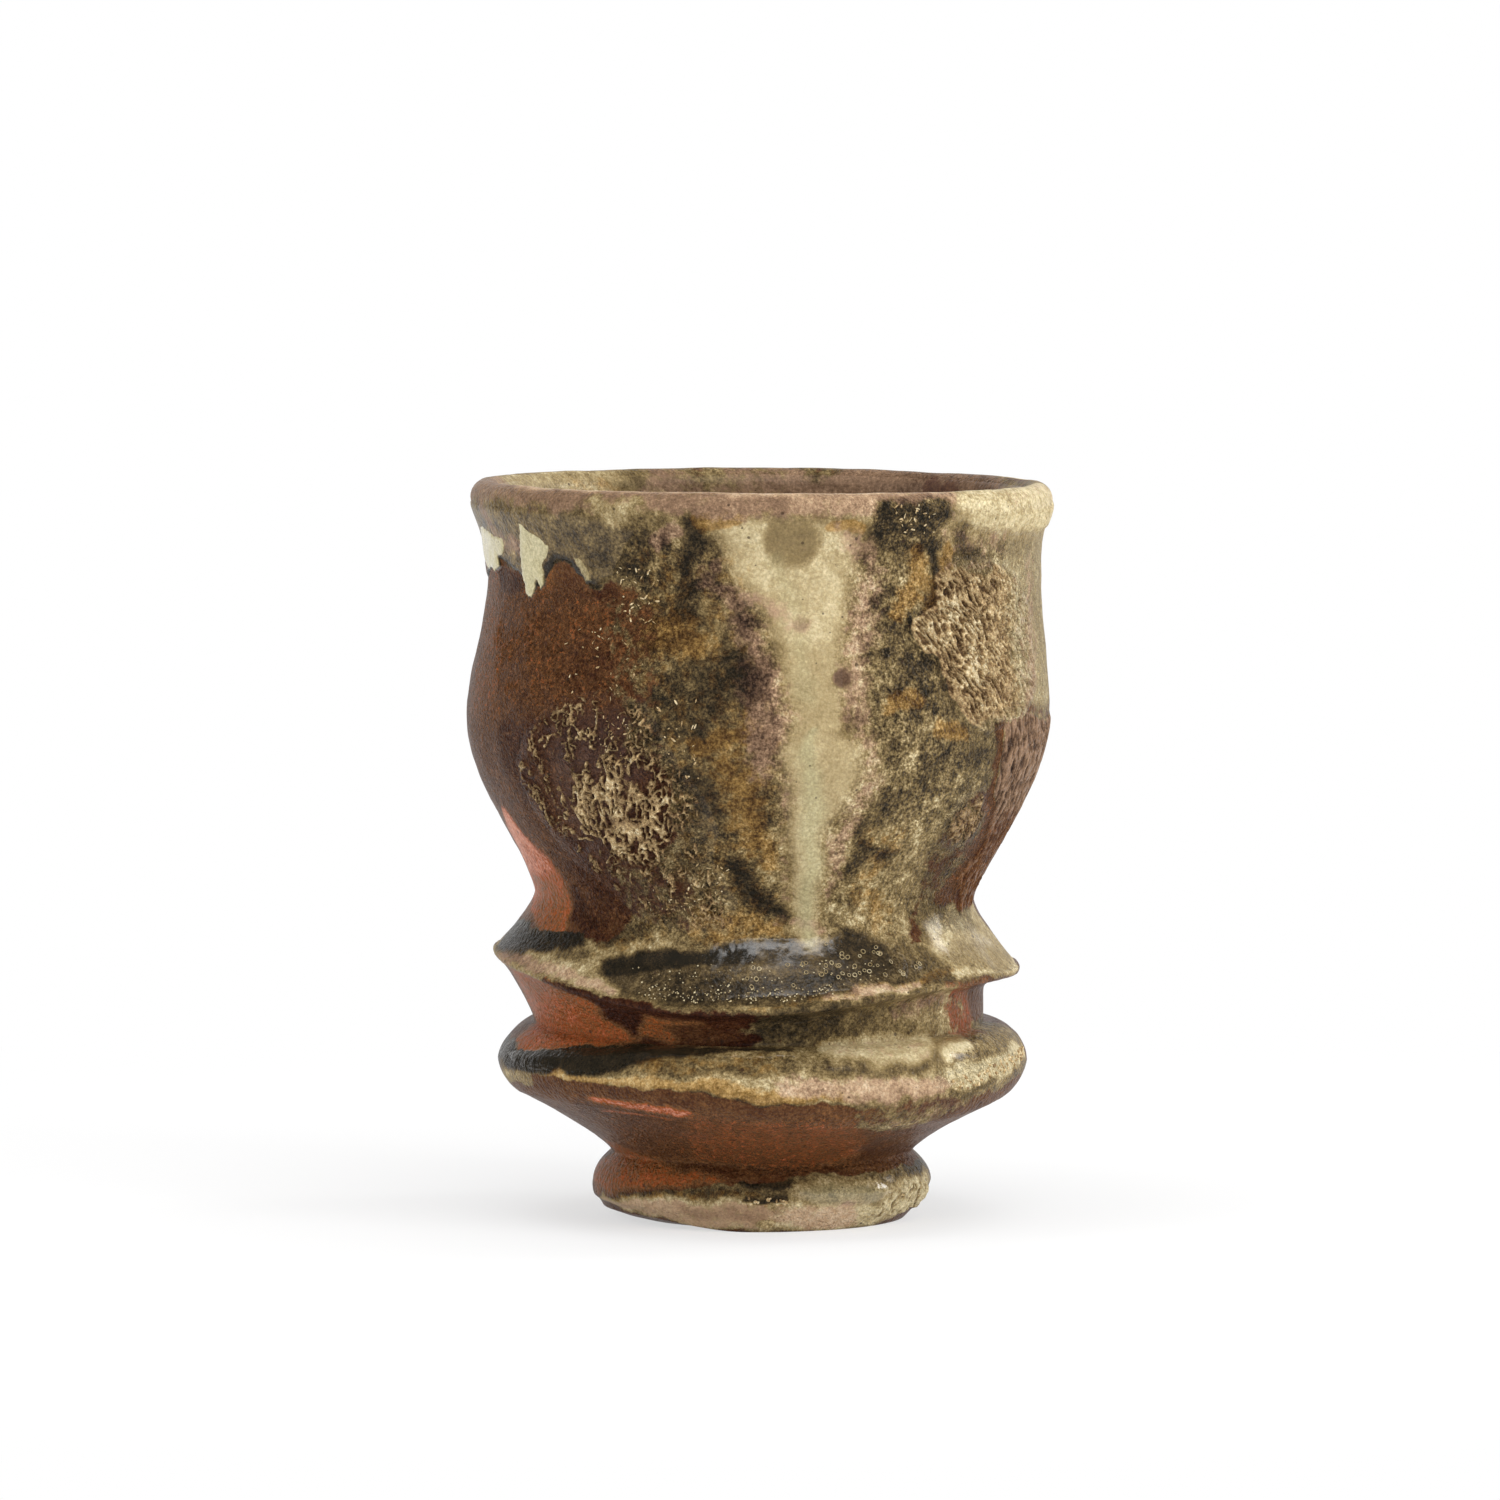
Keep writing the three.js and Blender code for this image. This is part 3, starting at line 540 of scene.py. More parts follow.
# %% Tints of the ash
paint(
    "pink",
    (0.8, 1, 1.2, (520, 488), (930, 492), (880, 514), (700, 512), (560, 510)),
    (0.7, 1, 0.9, (478, 492, 9), (500, 535, 12), (520, 545, 10)),
    (0.9, 1, 0.8, (656, 545, 8), (674, 530, 8)),
    (0.6, 1, 2, (826, 520), (880, 540), (885, 620), (866, 700), (880, 745), (885, 775), (856, 830),
        (846, 870), (830, 900), (824, 850), (860, 780), (866, 758), (838, 720), (842, 660), (856, 570)),
    (0.7, 1, 2, (716, 590), (745, 596), (792, 690), (790, 740), (760, 800), (740, 740), (740, 650)),
    (0.5, 0.9, 0.8, (782, 920, 8), (826, 930, 6)),
    (0.6, 1, 0.9, (802, 624, 9), (704, 580, 10), (720, 560, 8)),
    (0.7, 1, 0.8, (500, 952, 8), (560, 972, 8), (612, 990, 6)),
    (0.6, 1, 0.6, (826, 998, 5), (870, 993, 6), (918, 984, 5)),
    (0.8, 1, 1, (770, 1080), (880, 1076), (960, 1080), (940, 1100), (860, 1106), (780, 1096)),
    (0.6, 1, 1, (900, 1010, 16), (935, 1000, 16)),
    (0.7, 1, 0.9, (640, 1212, 10), (720, 1216, 10), (790, 1216, 10), (850, 1218, 8)),
    (0.5, 1, 1, (1030, 560, 16), (1034, 640, 16), (1030, 700, 14)),
    (0.4, 1, 1, (900, 1120, 14), (960, 1104, 10)),
)
paint(
    "ochre",
    (0.36, 1, 3, (620, 540), (735, 540), (785, 690), (780, 940), (620, 940), (650, 800), (620, 690)),
    (0.9, 1, 0.9, (653, 636, 16), (668, 628, 18), (700, 645, 13)),
    (0.5, 1, 1, (640, 600, 10), (660, 610, 12)),
    (0.8, 1, 0.8, (704, 520, 8), (722, 514, 10), (744, 510, 6)),
    (0.8, 1, 0.8, (832, 527, 4), (848, 526, 6), (860, 528, 4)),
    (1, 1, 0.7, (692, 746, 6), (718, 739, 9), (742, 738, 8), (770, 745, 8)),
    (0.75, 1, 1, (724, 765, 12), (745, 790, 20), (750, 830, 12), (770, 860, 10)),
    (0.7, 1, 1, (700, 925, 14), (740, 926, 16), (780, 930, 10)),
    (0.6, 1, 0.9, (752, 712, 14)),
    (0.85, 1, 0.9, (916, 556, 14), (914, 585, 14), (898, 612, 10)),
    (0.85, 1, 0.9, (948, 552, 10), (944, 568, 8), (925, 625, 10)),
    (0.9, 1, 0.8, (888, 705, 9), (905, 702, 11), (918, 704, 8)),
    (0.9, 1, 0.8, (944, 728, 9), (962, 730, 10)),
    (0.5, 1, 1, (868, 838, 12), (900, 836, 16), (860, 885, 16), (880, 915, 20)),
    (0.5, 1, 0.8, (640, 1066, 10), (700, 1064, 12), (780, 1066, 10)),
    (0.8, 1, 0.6, (545, 1078, 5), (620, 1082, 6), (700, 1089, 7), (770, 1096, 7), (840, 1100, 6)),
    (0.5, 1, 0.7, (830, 998, 5), (960, 972, 6), (750, 1006, 4)),
    (0.5, 1, 0.7, (605, 1197, 4), (680, 1194, 6), (760, 1196, 4)),
    (0.4, 1, 1, (600, 945, 10), (640, 945, 10)),
    (0.4, 1, 0.9, (815, 1045, 10)),
)
paint(
    "mottling",
    (0.75, 1, 2, (620, 540), (740, 540), (790, 700), (780, 940), (640, 940), (660, 800), (630, 700)),
    (0.7, 1, 2, (862, 520), (935, 520), (940, 700), (990, 760), (930, 850), (915, 935), (830, 935),
        (830, 830), (870, 760), (850, 700)),
    (0.16, 1, 1.4, (708, 524), (765, 515), (826, 522), (860, 534), (850, 587), (838, 700), (858, 752),
        (856, 778), (828, 816), (820, 940), (797, 940), (790, 845), (788, 772), (790, 690), (764, 622),
        (732, 575), (720, 546)),
    (0.25, 1, 1.2, (1010, 520), (1056, 520), (1056, 708), (1020, 706)),
    (0.3, 1, 0.9, (792, 541, 26), (1000, 490, 14), (1040, 490, 14)),
    (0.35, 1, 1, (500, 952, 10), (560, 972, 8), (612, 990, 6)),
    (0.35, 1, 0.9, (860, 1090, 16), (930, 1086, 14), (870, 1044, 10)),
)
paint(
    "dots",
    (1, 1, 1.5, (838, 582), (870, 582), (905, 620), (905, 710), (870, 720), (850, 690)),
    (0.8, 1, 0.9, (740, 750, 16), (750, 780, 16), (690, 740, 14)),
    (0.7, 1, 0.9, (830, 860, 10), (840, 900, 14), (880, 880, 16)),
    (0.5, 1, 0.9, (640, 500, 8), (560, 515, 10), (900, 560, 14)),
)
paint(
    "leather",
    (1, 1, 1.5, (934, 565), (960, 545), (1000, 545), (1030, 600), (1040, 700), (1050, 720), (1045, 770),
        (1000, 870), (970, 925), (915, 925), (930, 860), (945, 800), (985, 735), (950, 700), (930, 660),
        (905, 640), (905, 610), (932, 600)),
    (0.9, 1, 3, (545, 700), (620, 690), (690, 780), (715, 850), (730, 920), (640, 930), (590, 900),
        (550, 820)),
    (0.9, 1, 1.5, (610, 565), (655, 570), (660, 625), (625, 630)),
    (0, 1, 1, (792, 560, 40), (815, 650, 26), (815, 760, 26), (810, 900, 14)),
    (0.8, 1, 0.8, (940, 1080, 8), (980, 1070, 12), (1015, 1055, 10)),
    (0.6, 1, 0.9, (960, 1100, 14), (900, 1130, 18), (760, 1150, 20), (840, 1160, 16)),
)
paint(
    "gloss",
    (1, 1, 0.7, (612, 966, 7), (700, 970, 20), (780, 970, 22), (850, 965, 22), (900, 970, 10)),
    (0.9, 1, 0.5, (510, 1060, 8), (580, 1062, 12), (700, 1052, 6), (800, 1052, 6), (880, 1060, 14),
        (950, 1052, 14)),
    (0.8, 1, 0.7, (770, 1184, 8), (830, 1190, 12), (890, 1186, 12)),
    (0.5, 1, 0.9, (945, 935, 16), (980, 950, 14)),
    (0.6, 1, 0.5, (620, 1084, 5), (720, 1088, 7), (820, 1090, 7)),
)

# %% A second coat of smaller marks
paint(
    "clay",
    # The groove again: dark maroon clay with painted shade under the upper flange.
    (0.12, 1, 0.8, (560, 980), (640, 1008), (780, 1010), (780, 1046), (700, 1048), (660, 1040), (622, 1018),
        (590, 1003)),
    (0.76, 1, 1.2, (520, 1000), (560, 1000), (610, 1022), (645, 1044), (520, 1050)),
    (0.2, 0.9, 1.5, (560, 945), (600, 930), (620, 940), (590, 960)),
    (0.5, 0.8, 2, (495, 640), (520, 640), (520, 715), (495, 715)),
    (0.26, 1, 0.5, (574, 890, 6), (582, 912, 12), (596, 925, 14)),
    (0.4, 1, 0.6, (580, 1094), (695, 1108), (695, 1124), (580, 1114)),
    (0.68, 1, 0.5, (588, 1101, 3), (640, 1108, 5), (690, 1114, 3)),
    (0.6, 0.9, 0.5, (600, 1112, 3), (670, 1118, 3)),
    (0.5, 0.9, 2, (680, 1115), (860, 1120), (860, 1165), (760, 1175), (680, 1160)),
    (0.66, 1, 0.8, (640, 1012), (700, 1020), (740, 1036), (700, 1044), (640, 1040)),
    # The same painted shadow line under the upper flange's left lip.
    (0.2, 1, 0.8, (560, 978), (640, 1008), (690, 1012), (690, 1020), (640, 1016), (585, 1000)),
    (0.3, 0.8, 1, (660, 1024), (745, 1018), (745, 1042), (680, 1044)),
    (0.74, 1, 1, (940, 988), (985, 982), (990, 1030), (938, 1034)),
    (0.5, 0.9, 1.5, (548, 566), (582, 578), (586, 612), (548, 612)),
    (0.3, 1, 0.8, (498, 570), (520, 572), (522, 594), (500, 594)),
    (0.62, 0.9, 1.5, (690, 1118), (860, 1122), (860, 1165), (760, 1176), (690, 1160)),
    (0.42, 0.9, 0.8, (690, 1166, 6), (770, 1176, 7), (850, 1172, 5)),
    (0.56, 1, 1.5, (1000, 712), (1050, 700), (1050, 780), (1010, 850), (975, 925), (930, 925), (945, 870),
        (985, 800)),
    (0.36, 0.8, 2, (530, 760), (580, 760), (590, 830), (560, 840)),
    (0.92, 1, 0.7, (590, 1100, 2.5), (640, 1108, 4), (688, 1114, 3)),
    (0.86, 0.9, 0.7, (604, 1112, 2), (660, 1118, 2)),
    (0.44, 0.9, 2, (500, 600), (580, 600), (640, 620), (630, 712), (505, 712)),
    (0.36, 0.8, 2, (560, 650), (640, 640), (640, 712), (560, 712)),
    (0.4, 1, 0.7, (552, 568), (580, 578), (584, 600), (552, 604)),
    (0.26, 1, 0.8, (498, 570), (520, 572), (522, 594), (500, 594)),
    (0.86, 0.6, 1, (520, 840), (545, 850), (560, 880), (528, 880)),
    (0.7, 1, 0.8, (528, 880), (561, 874), (568, 925), (557, 938), (540, 925), (530, 908)),
)
paint(
    "ash",
    (0.5, 0.9, 2.5, (600, 600), (650, 588), (668, 640), (655, 700), (668, 755), (630, 750), (600, 690)),
    (0.42, 0.8, 2, (600, 880), (650, 860), (700, 880), (690, 935), (640, 930)),
    (0.6, 0.9, 2, (925, 860), (960, 800), (985, 790), (985, 830), (955, 880), (925, 925)),
    (1, 1, 1.5, (920, 912), (975, 893), (992, 920), (1020, 942), (1028, 958), (1000, 975), (925, 962)),
    (0.45, 0.9, 1.5, (915, 990), (985, 978), (988, 1034), (925, 1038)),
    (1, 1, 0.5, (500, 925), (522, 920), (560, 932), (585, 934), (590, 948), (540, 956), (500, 948)),
    (0.15, 1, 1.2, (945, 990), (985, 982), (990, 1032), (942, 1034)),
    (0.36, 1, 1.2, (1000, 716), (1050, 706), (1050, 780), (1010, 830), (990, 790)),
    (0.36, 1, 1.2, (945, 990), (985, 982), (990, 1032), (942, 1034)),
    (-0.4, 1, 0.8, (500, 812), (523, 835), (542, 854), (556, 874), (565, 893), (568, 925), (545, 927),
        (530, 906), (527, 872), (506, 840)),
    (-0.4, 1, 0.8, (496, 570), (520, 574), (530, 602), (546, 588), (560, 566), (582, 580), (590, 616),
        (500, 616)),
    (-0.4, 1, 1.2, (510, 985), (550, 985), (600, 1008), (680, 1016), (680, 1042), (520, 1046)),
    (-0.4, 1, 0.6, (612, 1143), (643, 1155), (677, 1167), (714, 1178), (677, 1183), (628, 1187), (606, 1190)),
    (0.85, 0.9, 1.8, (925, 992), (966, 986), (956, 1034), (920, 1036)),
)
paint(
    "tone",
    (0.74, 0.9, 1.4, (795, 650), (838, 650), (842, 725), (800, 740), (790, 720)),
    (0.73, 0.9, 2, (795, 745), (850, 752), (842, 800), (800, 812)),
    (0.74, 0.9, 0.9, (808, 895, 12), (808, 935, 14)),
    (0.66, 0.9, 1.2, (930, 520), (1000, 524), (1010, 560), (960, 556)),
    # A painted shadow: dark lines beside the raised left edge of the right crust.
    (0.2, 0.9, 0.5, (935, 545, 3.5), (937, 575, 3), (937, 603, 3.5)),
    (0.26, 1, 0.5, (908, 616, 3), (910, 634, 3), (925, 655, 3), (938, 659, 3), (945, 682, 3), (955, 706, 3),
        (969, 726, 3)),
    (0.2, 1, 0.5, (994, 726, 3.5), (997, 782, 3.5)),
    (0.3, 1, 0.5, (604, 934, 7), (640, 930, 7)),
    (0.05, 1, 0.5, (502, 928), (522, 921), (545, 928), (560, 934), (585, 935), (588, 946), (545, 953),
        (505, 947)),
    (0.3, 1, 0.8, (600, 966), (640, 962), (740, 980), (800, 974), (900, 976), (860, 990), (760, 1001),
        (680, 1002), (620, 994)),
    (0.05, 1, 0.6, (603, 958), (640, 950), (700, 950), (755, 952), (755, 962), (700, 968), (640, 974),
        (606, 972)),
    (0.2, 1, 0.8, (755, 944), (830, 940), (884, 940), (890, 968), (850, 982), (790, 972)),
    # The same painted highlight on the upper flange's right, as a patch of pale cream.
    (0.86, 1, 1, (926, 926), (950, 916), (962, 930), (950, 946), (930, 950)),
    (0.76, 1, 1.5, (950, 905), (978, 898), (992, 920), (1020, 944), (1024, 958), (960, 962)),
    (0.05, 1, 0.5, (502, 1050), (560, 1046), (640, 1045), (700, 1046), (690, 1055), (620, 1066), (590, 1074),
        (540, 1074), (508, 1066)),
    (0.84, 1, 1, (822, 1040), (870, 1037), (930, 1033), (940, 1040), (930, 1058), (880, 1062), (835, 1060)),
    (0.4, 1, 0.6, (815, 1064), (880, 1066), (925, 1060), (925, 1072), (870, 1076), (815, 1074)),
    # A painted highlight: a near-white spot on the lower flange's right.
    (0.96, 1, 0.8, (946, 1057, 6), (956, 1048, 8), (965, 1041, 6)),
    (0.3, 1, 0.8, (970, 1014), (1000, 1016), (1008, 1040), (990, 1054), (970, 1040)),
    (0.8, 1, 0.8, (900, 1176), (925, 1180), (926, 1200), (890, 1218), (860, 1222), (880, 1200)),
    (0.3, 1, 0.5, (902, 1160), (926, 1158), (930, 1170), (905, 1174)),
    (0.48, 0.9, 0.9, (742, 712, 14), (764, 722, 10)),
    (0.5, 0.8, 1, (724, 775, 12), (745, 800, 16)),
    (0.86, 1, 0.9, (722, 524), (765, 517), (775, 530), (765, 590), (745, 590), (730, 560)),
    (0.71, 0.9, 1.4, (795, 685), (836, 685), (840, 728), (800, 740), (790, 722)),
    (0.7, 0.9, 1.2, (840, 570), (868, 575), (866, 700), (848, 715), (842, 680), (856, 600)),
    (0.7, 0.9, 1, (868, 742), (888, 744), (884, 776), (862, 790)),
    (0.72, 0.9, 1, (826, 822), (850, 816), (850, 862), (828, 866)),
    (0.36, 0.9, 1, (900, 780), (925, 785), (915, 820), (885, 822)),
    (0.5, 0.9, 1, (902, 1000), (935, 992), (938, 1030), (900, 1034)),
    (0.55, 1, 0.8, (972, 1016), (1004, 1018), (1008, 1042), (990, 1054), (972, 1042)),
    (0.97, 1, 0.8, (946, 1074), (985, 1060), (1018, 1044), (1024, 1052), (1000, 1074), (955, 1086)),
    (0.82, 1, 0.5, (600, 1200), (640, 1202), (700, 1203), (768, 1206), (772, 1230), (690, 1228), (620, 1216)),
    (0.68, 1, 0.6, (674, 1207), (766, 1209), (766, 1222), (690, 1220)),
    (0.2, 0.9, 0.5, (840, 1209, 2.5), (870, 1206, 2.5)),
    (0.42, 1, 1, (640, 966), (755, 966), (860, 972), (850, 988), (760, 998), (680, 998), (632, 988)),
    (0.06, 1, 0.6, (603, 958), (640, 952), (700, 950), (755, 952), (755, 962), (700, 966), (640, 972),
        (606, 972)),
    (0.7, 0.9, 0.9, (584, 500, 8), (610, 512, 14), (634, 506, 8)),
    (0.46, 0.9, 0.9, (500, 512, 8), (516, 516, 7)),
    (0.9, 1, 0.8, (946, 1074), (985, 1060), (1018, 1044), (1024, 1052), (1000, 1074), (955, 1086)),
    (0.88, 1, 1.2, (776, 1216), (806, 1206), (850, 1206), (884, 1196), (926, 1170), (930, 1200), (884, 1218),
        (850, 1226), (790, 1230)),
    (0.95, 1, 0.8, (900, 1196, 8), (918, 1182, 8)),
    (0.7, 1, 1, (790, 1192), (812, 1182), (884, 1184), (880, 1202), (808, 1204)),
    # The right edge made paler again, as a painted sheen.
    (0.84, 1, 2, (1004, 560), (1056, 550), (1056, 706), (1018, 704)),
    (0.34, 0.9, 0.8, (694, 746, 6), (720, 739, 8), (742, 738, 8)),
    (0.42, 0.9, 0.9, (742, 712, 14), (764, 722, 10)),
    (0.8, 0.9, 0.8, (588, 502, 7), (612, 512, 12), (632, 506, 7)),
    (0.66, 0.9, 1, (808, 890, 14), (808, 935, 16)),
    (0.6, 0.8, 1.2, (774, 735), (790, 735), (792, 900), (780, 900)),
    (0.18, 0.9, 1, (905, 660), (925, 660), (925, 690), (905, 690)),
    (0.3, 0.9, 1, (630, 976), (700, 980), (860, 972), (850, 988), (760, 998), (680, 998)),
    (0.64, 1, 1, (1000, 712), (1050, 700), (1050, 780), (1010, 830), (992, 790)),
    (0.68, 1, 1, (940, 990), (985, 982), (990, 1032), (938, 1034)),
    (0.3, 0.9, 0.9, (653, 632, 16), (672, 630, 16)),
    (0.32, 0.7, 1.2, (622, 697), (667, 697), (667, 747), (630, 747)),
    (0.14, 0.8, 0.9, (738, 655, 8), (746, 676, 12), (752, 700, 7)),
    (0.76, 1, 0.6, (500, 950, 6), (540, 962, 8), (580, 976, 9), (614, 990, 6)),
    (0.66, 1, 1.5, (950, 940), (992, 940), (1020, 954), (985, 972), (940, 966)),
    (0.4, 0.9, 1, (890, 1008), (935, 1002), (935, 1030), (890, 1034)),
    (0.78, 1, 1, (826, 1046, 8), (870, 1044, 10), (920, 1042, 10)),
    (0.56, 1, 1, (796, 1192), (812, 1182), (884, 1184), (880, 1202), (808, 1204)),
    (0.62, 0.8, 1, (660, 501, 8), (720, 501, 8), (800, 504, 9), (870, 508, 12)),
    (0.6, 0.8, 1.2, (832, 874), (868, 870), (908, 876), (910, 930), (832, 930)),
    (0.2, 1, 1, (640, 976), (755, 972), (860, 974), (850, 988), (760, 998), (680, 998)),
    (0.2, 0.22, 3, (630, 540), (735, 540), (780, 690), (780, 830), (650, 830), (630, 700)),
    (0.3, 0.3, 1, (575, 530), (650, 530), (650, 580), (600, 580), (575, 555)),
    (0.56, 1, 0.2, (792, 542, 25)),
    (0.62, 1, 0.4, (802, 624, 6.5)),
    (0.3, 1, 0.3, (841.5, 678, 8.6)),
    (0.6, 1, 0.8, (700, 519, 6), (722, 514, 8), (746, 511, 5)),
    (0.24, 1, 0.7, (694, 512, 4), (706, 510, 4)),
    (0.66, 1, 0.7, (832, 527, 4), (848, 526, 5), (862, 529, 5)),
    (0.3, 1, 0.9, (964, 530, 9), (972, 556, 8)),
    (0.56, 1, 1.5, (905, 1004), (940, 996), (936, 1032), (900, 1034)),
)
paint(
    "pink",
    (0, 1, 1, (884, 502), (941, 497), (944, 515), (938, 540), (890, 540)),
    (0, 1, 1, (603, 950), (755, 946), (884, 940), (890, 968), (850, 990), (760, 1002), (620, 994)),
    (0.5, 0.8, 1.5, (930, 520), (1010, 524), (1010, 560), (960, 556)),
    (0.8, 1, 1.5, (780, 1218), (806, 1208), (850, 1206), (860, 1222), (800, 1230)),
    (0.3, 1, 1, (822, 1040), (870, 1037), (930, 1033), (930, 1058), (835, 1060)),
    (0.7, 1, 0.5, (600, 1200), (640, 1202), (768, 1206), (772, 1230), (690, 1228), (620, 1216)),
    (0.3, 0.8, 0.9, (584, 500, 8), (610, 512, 14), (634, 506, 8)),
    (0.5, 0.8, 1.2, (774, 735), (790, 735), (792, 900), (780, 900)),
    (0.8, 1, 0.3, (841.5, 678, 9)),
    (0.1, 1, 0.5, (792, 542, 25)),
)
paint(
    "ochre",
    (0, 1, 1, (884, 502), (941, 497), (944, 515), (938, 540), (890, 540)),
    (0, 1, 1, (603, 950), (755, 946), (884, 940), (890, 968), (850, 990), (760, 1002), (620, 994)),
    (1.3, 1, 0.8, (700, 519, 7), (722, 514, 9), (746, 511, 6)),
    (1.2, 1, 0.8, (832, 527, 5), (848, 526, 6), (862, 529, 6)),
)
paint(
    "mottling",
    (0.3, 1, 1, (603, 950), (755, 946), (884, 940), (890, 968), (850, 990), (760, 1002), (620, 994)),
    (0.2, 1, 1, (822, 1040), (870, 1037), (930, 1033), (968, 1040), (945, 1064), (835, 1060)),
    (0.3, 1, 1, (502, 928), (585, 935), (588, 946), (545, 953), (505, 947)),
    (0.2, 1, 1, (502, 1050), (700, 1046), (690, 1055), (620, 1066), (540, 1074), (508, 1066)),
    (0.3, 1, 1.5, (920, 912), (975, 893), (1028, 958), (925, 962)),
    (0.3, 1, 1.5, (776, 1216), (806, 1204), (850, 1200), (900, 1180), (925, 1180), (890, 1218), (850, 1226),
        (790, 1230)),
    (0.5, 1, 1, (640, 966), (755, 966), (860, 972), (850, 988), (760, 998), (680, 998), (632, 988)),
    (0.12, 1, 0.6, (600, 1200), (640, 1202), (768, 1206), (772, 1230), (690, 1228), (620, 1216)),
    (0.2, 1, 0.8, (946, 1074), (985, 1060), (1018, 1044), (1024, 1052), (1000, 1074), (955, 1086)),
    (0.9, 1, 1.5, (868, 560), (905, 560), (940, 700), (960, 760), (925, 830), (885, 825), (880, 740),
        (865, 700)),
    (0.6, 1, 1.5, (690, 600), (740, 600), (770, 700), (770, 820), (700, 830), (670, 740)),
    (0.16, 1, 0.3, (792, 542, 27)),
    (0.2, 1, 0.4, (841.5, 678, 11)),
)
paint(
    "gloss",
    (1, 1, 0.8, (900, 1044), (965, 1030), (975, 1050), (945, 1070), (900, 1064)),
    (1, 1, 0.8, (740, 1044), (820, 1044), (820, 1064), (740, 1060)),
    (0, 1, 0.6, (500, 1046), (640, 1044), (640, 1060), (590, 1076), (505, 1072)),
    (0.9, 1, 1.5, (926, 925), (955, 915), (990, 940), (955, 958), (930, 950)),
)
paint(
    "mauve",
    (0.6, 1, 1, (940, 988), (985, 982), (990, 1030), (938, 1034)),
    (-0.2, 1, 0.8, (498, 568), (524, 572), (524, 600), (500, 600)),
    (-0.2, 1, 0.8, (528, 872), (556, 870), (570, 925), (557, 940), (538, 925)),
)
paint(
    "leather",
    (1.4, 1, 1.5, (1000, 712), (1050, 700), (1050, 780), (1010, 850), (975, 925), (930, 925), (945, 870),
        (985, 800)),
    (0.9, 1, 2.5, (500, 610), (600, 600), (640, 640), (620, 710), (510, 710)),
    (0.7, 1, 1.5, (640, 1110), (880, 1115), (900, 1150), (800, 1180), (690, 1165)),
    (-0.9, 1, 2, (470, 560), (600, 590), (640, 570), (665, 620), (640, 700), (700, 790), (735, 920),
        (640, 935), (575, 935), (545, 870), (520, 830), (470, 800)),
    (0, 1, 0.8, (498, 805), (523, 833), (556, 872), (568, 927), (530, 912), (517, 855)),
    (-0.9, 1, 1.5, (560, 1100), (880, 1115), (940, 1130), (800, 1180), (640, 1150)),
    (-0.3, 1, 1.5, (610, 1012), (940, 1004), (980, 1034), (760, 1046), (610, 1044)),
    (1, 1, 1.5, (1000, 540), (1050, 540), (1050, 706), (1010, 704)),
)
paint(
    "celadon",
    (0.6, 1, 0.9, (814, 728, 4), (812, 770, 8), (812, 830, 10), (810, 890, 10), (808, 936, 9)),
    (0.3, 1, 1, (800, 1192), (830, 1184), (884, 1186), (878, 1202), (812, 1204)),
    (0.25, 1, 1, (775, 560, 8), (800, 640, 8), (806, 700, 6)),
)
paint("dots", (0, 1, 0.3, (841.5, 678, 11)))

print({field: len(given) for field, given in strokes.items()})

# %% [markdown]
# The photograph shows only the front. On a cup fired this way, the ash comes from one side and fades
# towards the back, where the bare clay shows flame colours. These strokes carry the front's finishes
# round the sides and leave the back in rust, plum and thin ash.

# %% The sides and the back
def along_stretch(name):
    """A finder for strokes that follow one stretch of the outline, by a turn in degrees and a share."""
    return lambda turn, share: (np.radians(turn) * LEVEL, reach(name, share))


paint(
    "clay",
    (0.34, 1, 0.9, (-105, 66, 60), (-120, 56, 60)),
    (0.62, 0.9, 0.9, (-100, 84, 50), (-125, 82, 60), (-150, 84, 40)),
    (0.2, 0.9, 0.9, (-160, 66, 80), (-185, 58, 60)),
    (0.8, 0.9, 0.9, (-92, 52, 16), (-108, 49, 22), (-132, 46, 16)),
    (0.7, 0.8, 0.9, (-150, 48, 14), (-172, 45, 20)),
    (0.56, 0.9, 0.9, (100, 62, 50), (125, 60, 60), (150, 74, 40)),
    (0.3, 0.8, 0.9, (110, 52, 24), (135, 58, 30), (165, 60, 40)),
    (0.72, 0.8, 0.9, (172, 52, 24), (150, 47, 30), (122, 46, 20)),
    finder=wall,
)
paint("clay", (0.66, 0.9, 0.9, (-96, 0.5, 22), (-130, 0.4, 30), (-160, 0.6, 20)),
    (0.24, 0.9, 0.9, (110, 0.5, 30), (150, 0.5, 30), (185, 0.4, 24)), finder=along_stretch("cone"))
paint("clay", (0.7, 0.9, 0.9, (-100, 0.5, 16), (-128, 0.5, 20)),
    (0.3, 0.9, 0.9, (-150, 0.5, 20), (-190, 0.5, 24)), finder=along_stretch("undercut"))
paint("mauve", (0.5, 0.9, 0.9, (100, 60, 50), (130, 50, 40), (170, 66, 50)), (0.4, 0.9, 0.9, (-150, 60, 50)),
    finder=wall)
for part, share, amount in (("flange_top", 0.3, 0.6), ("dome", 0.4, 0.6), ("foot_side", 0.7, 0.6),
        ("nose_under", 0.6, 0.5)):
    paint("ash", (amount, 1, 0.9, (98, share, 26), (118, share, 20), (140, share, 10)), finder=along_stretch(part))
    paint("tone", (0.62, 1, 0.9, (96, share, 26), (140, share, 20)), finder=along_stretch(part))
paint(
    "ash",
    (1, 1, 0.7, (-95, 98, 36), (-140, 98, 36), (-179, 98, 30)),
    (1, 1, 0.7, (100, 96, 40), (140, 98, 36), (179, 98, 30)),
    (0.9, 1, 0.9, (85, 84, 90), (105, 88, 70), (125, 92, 50)),
    (0.56, 1, 0.9, (140, 78, 50), (160, 72, 50), (195, 84, 50)),
    (0.5, 1, 0.9, (96, 62, 30), (112, 56, 24)),
    (0.46, 1, 0.9, (-110, 92, 24), (-150, 90, 30), (-186, 92, 20)),
    finder=wall,
)
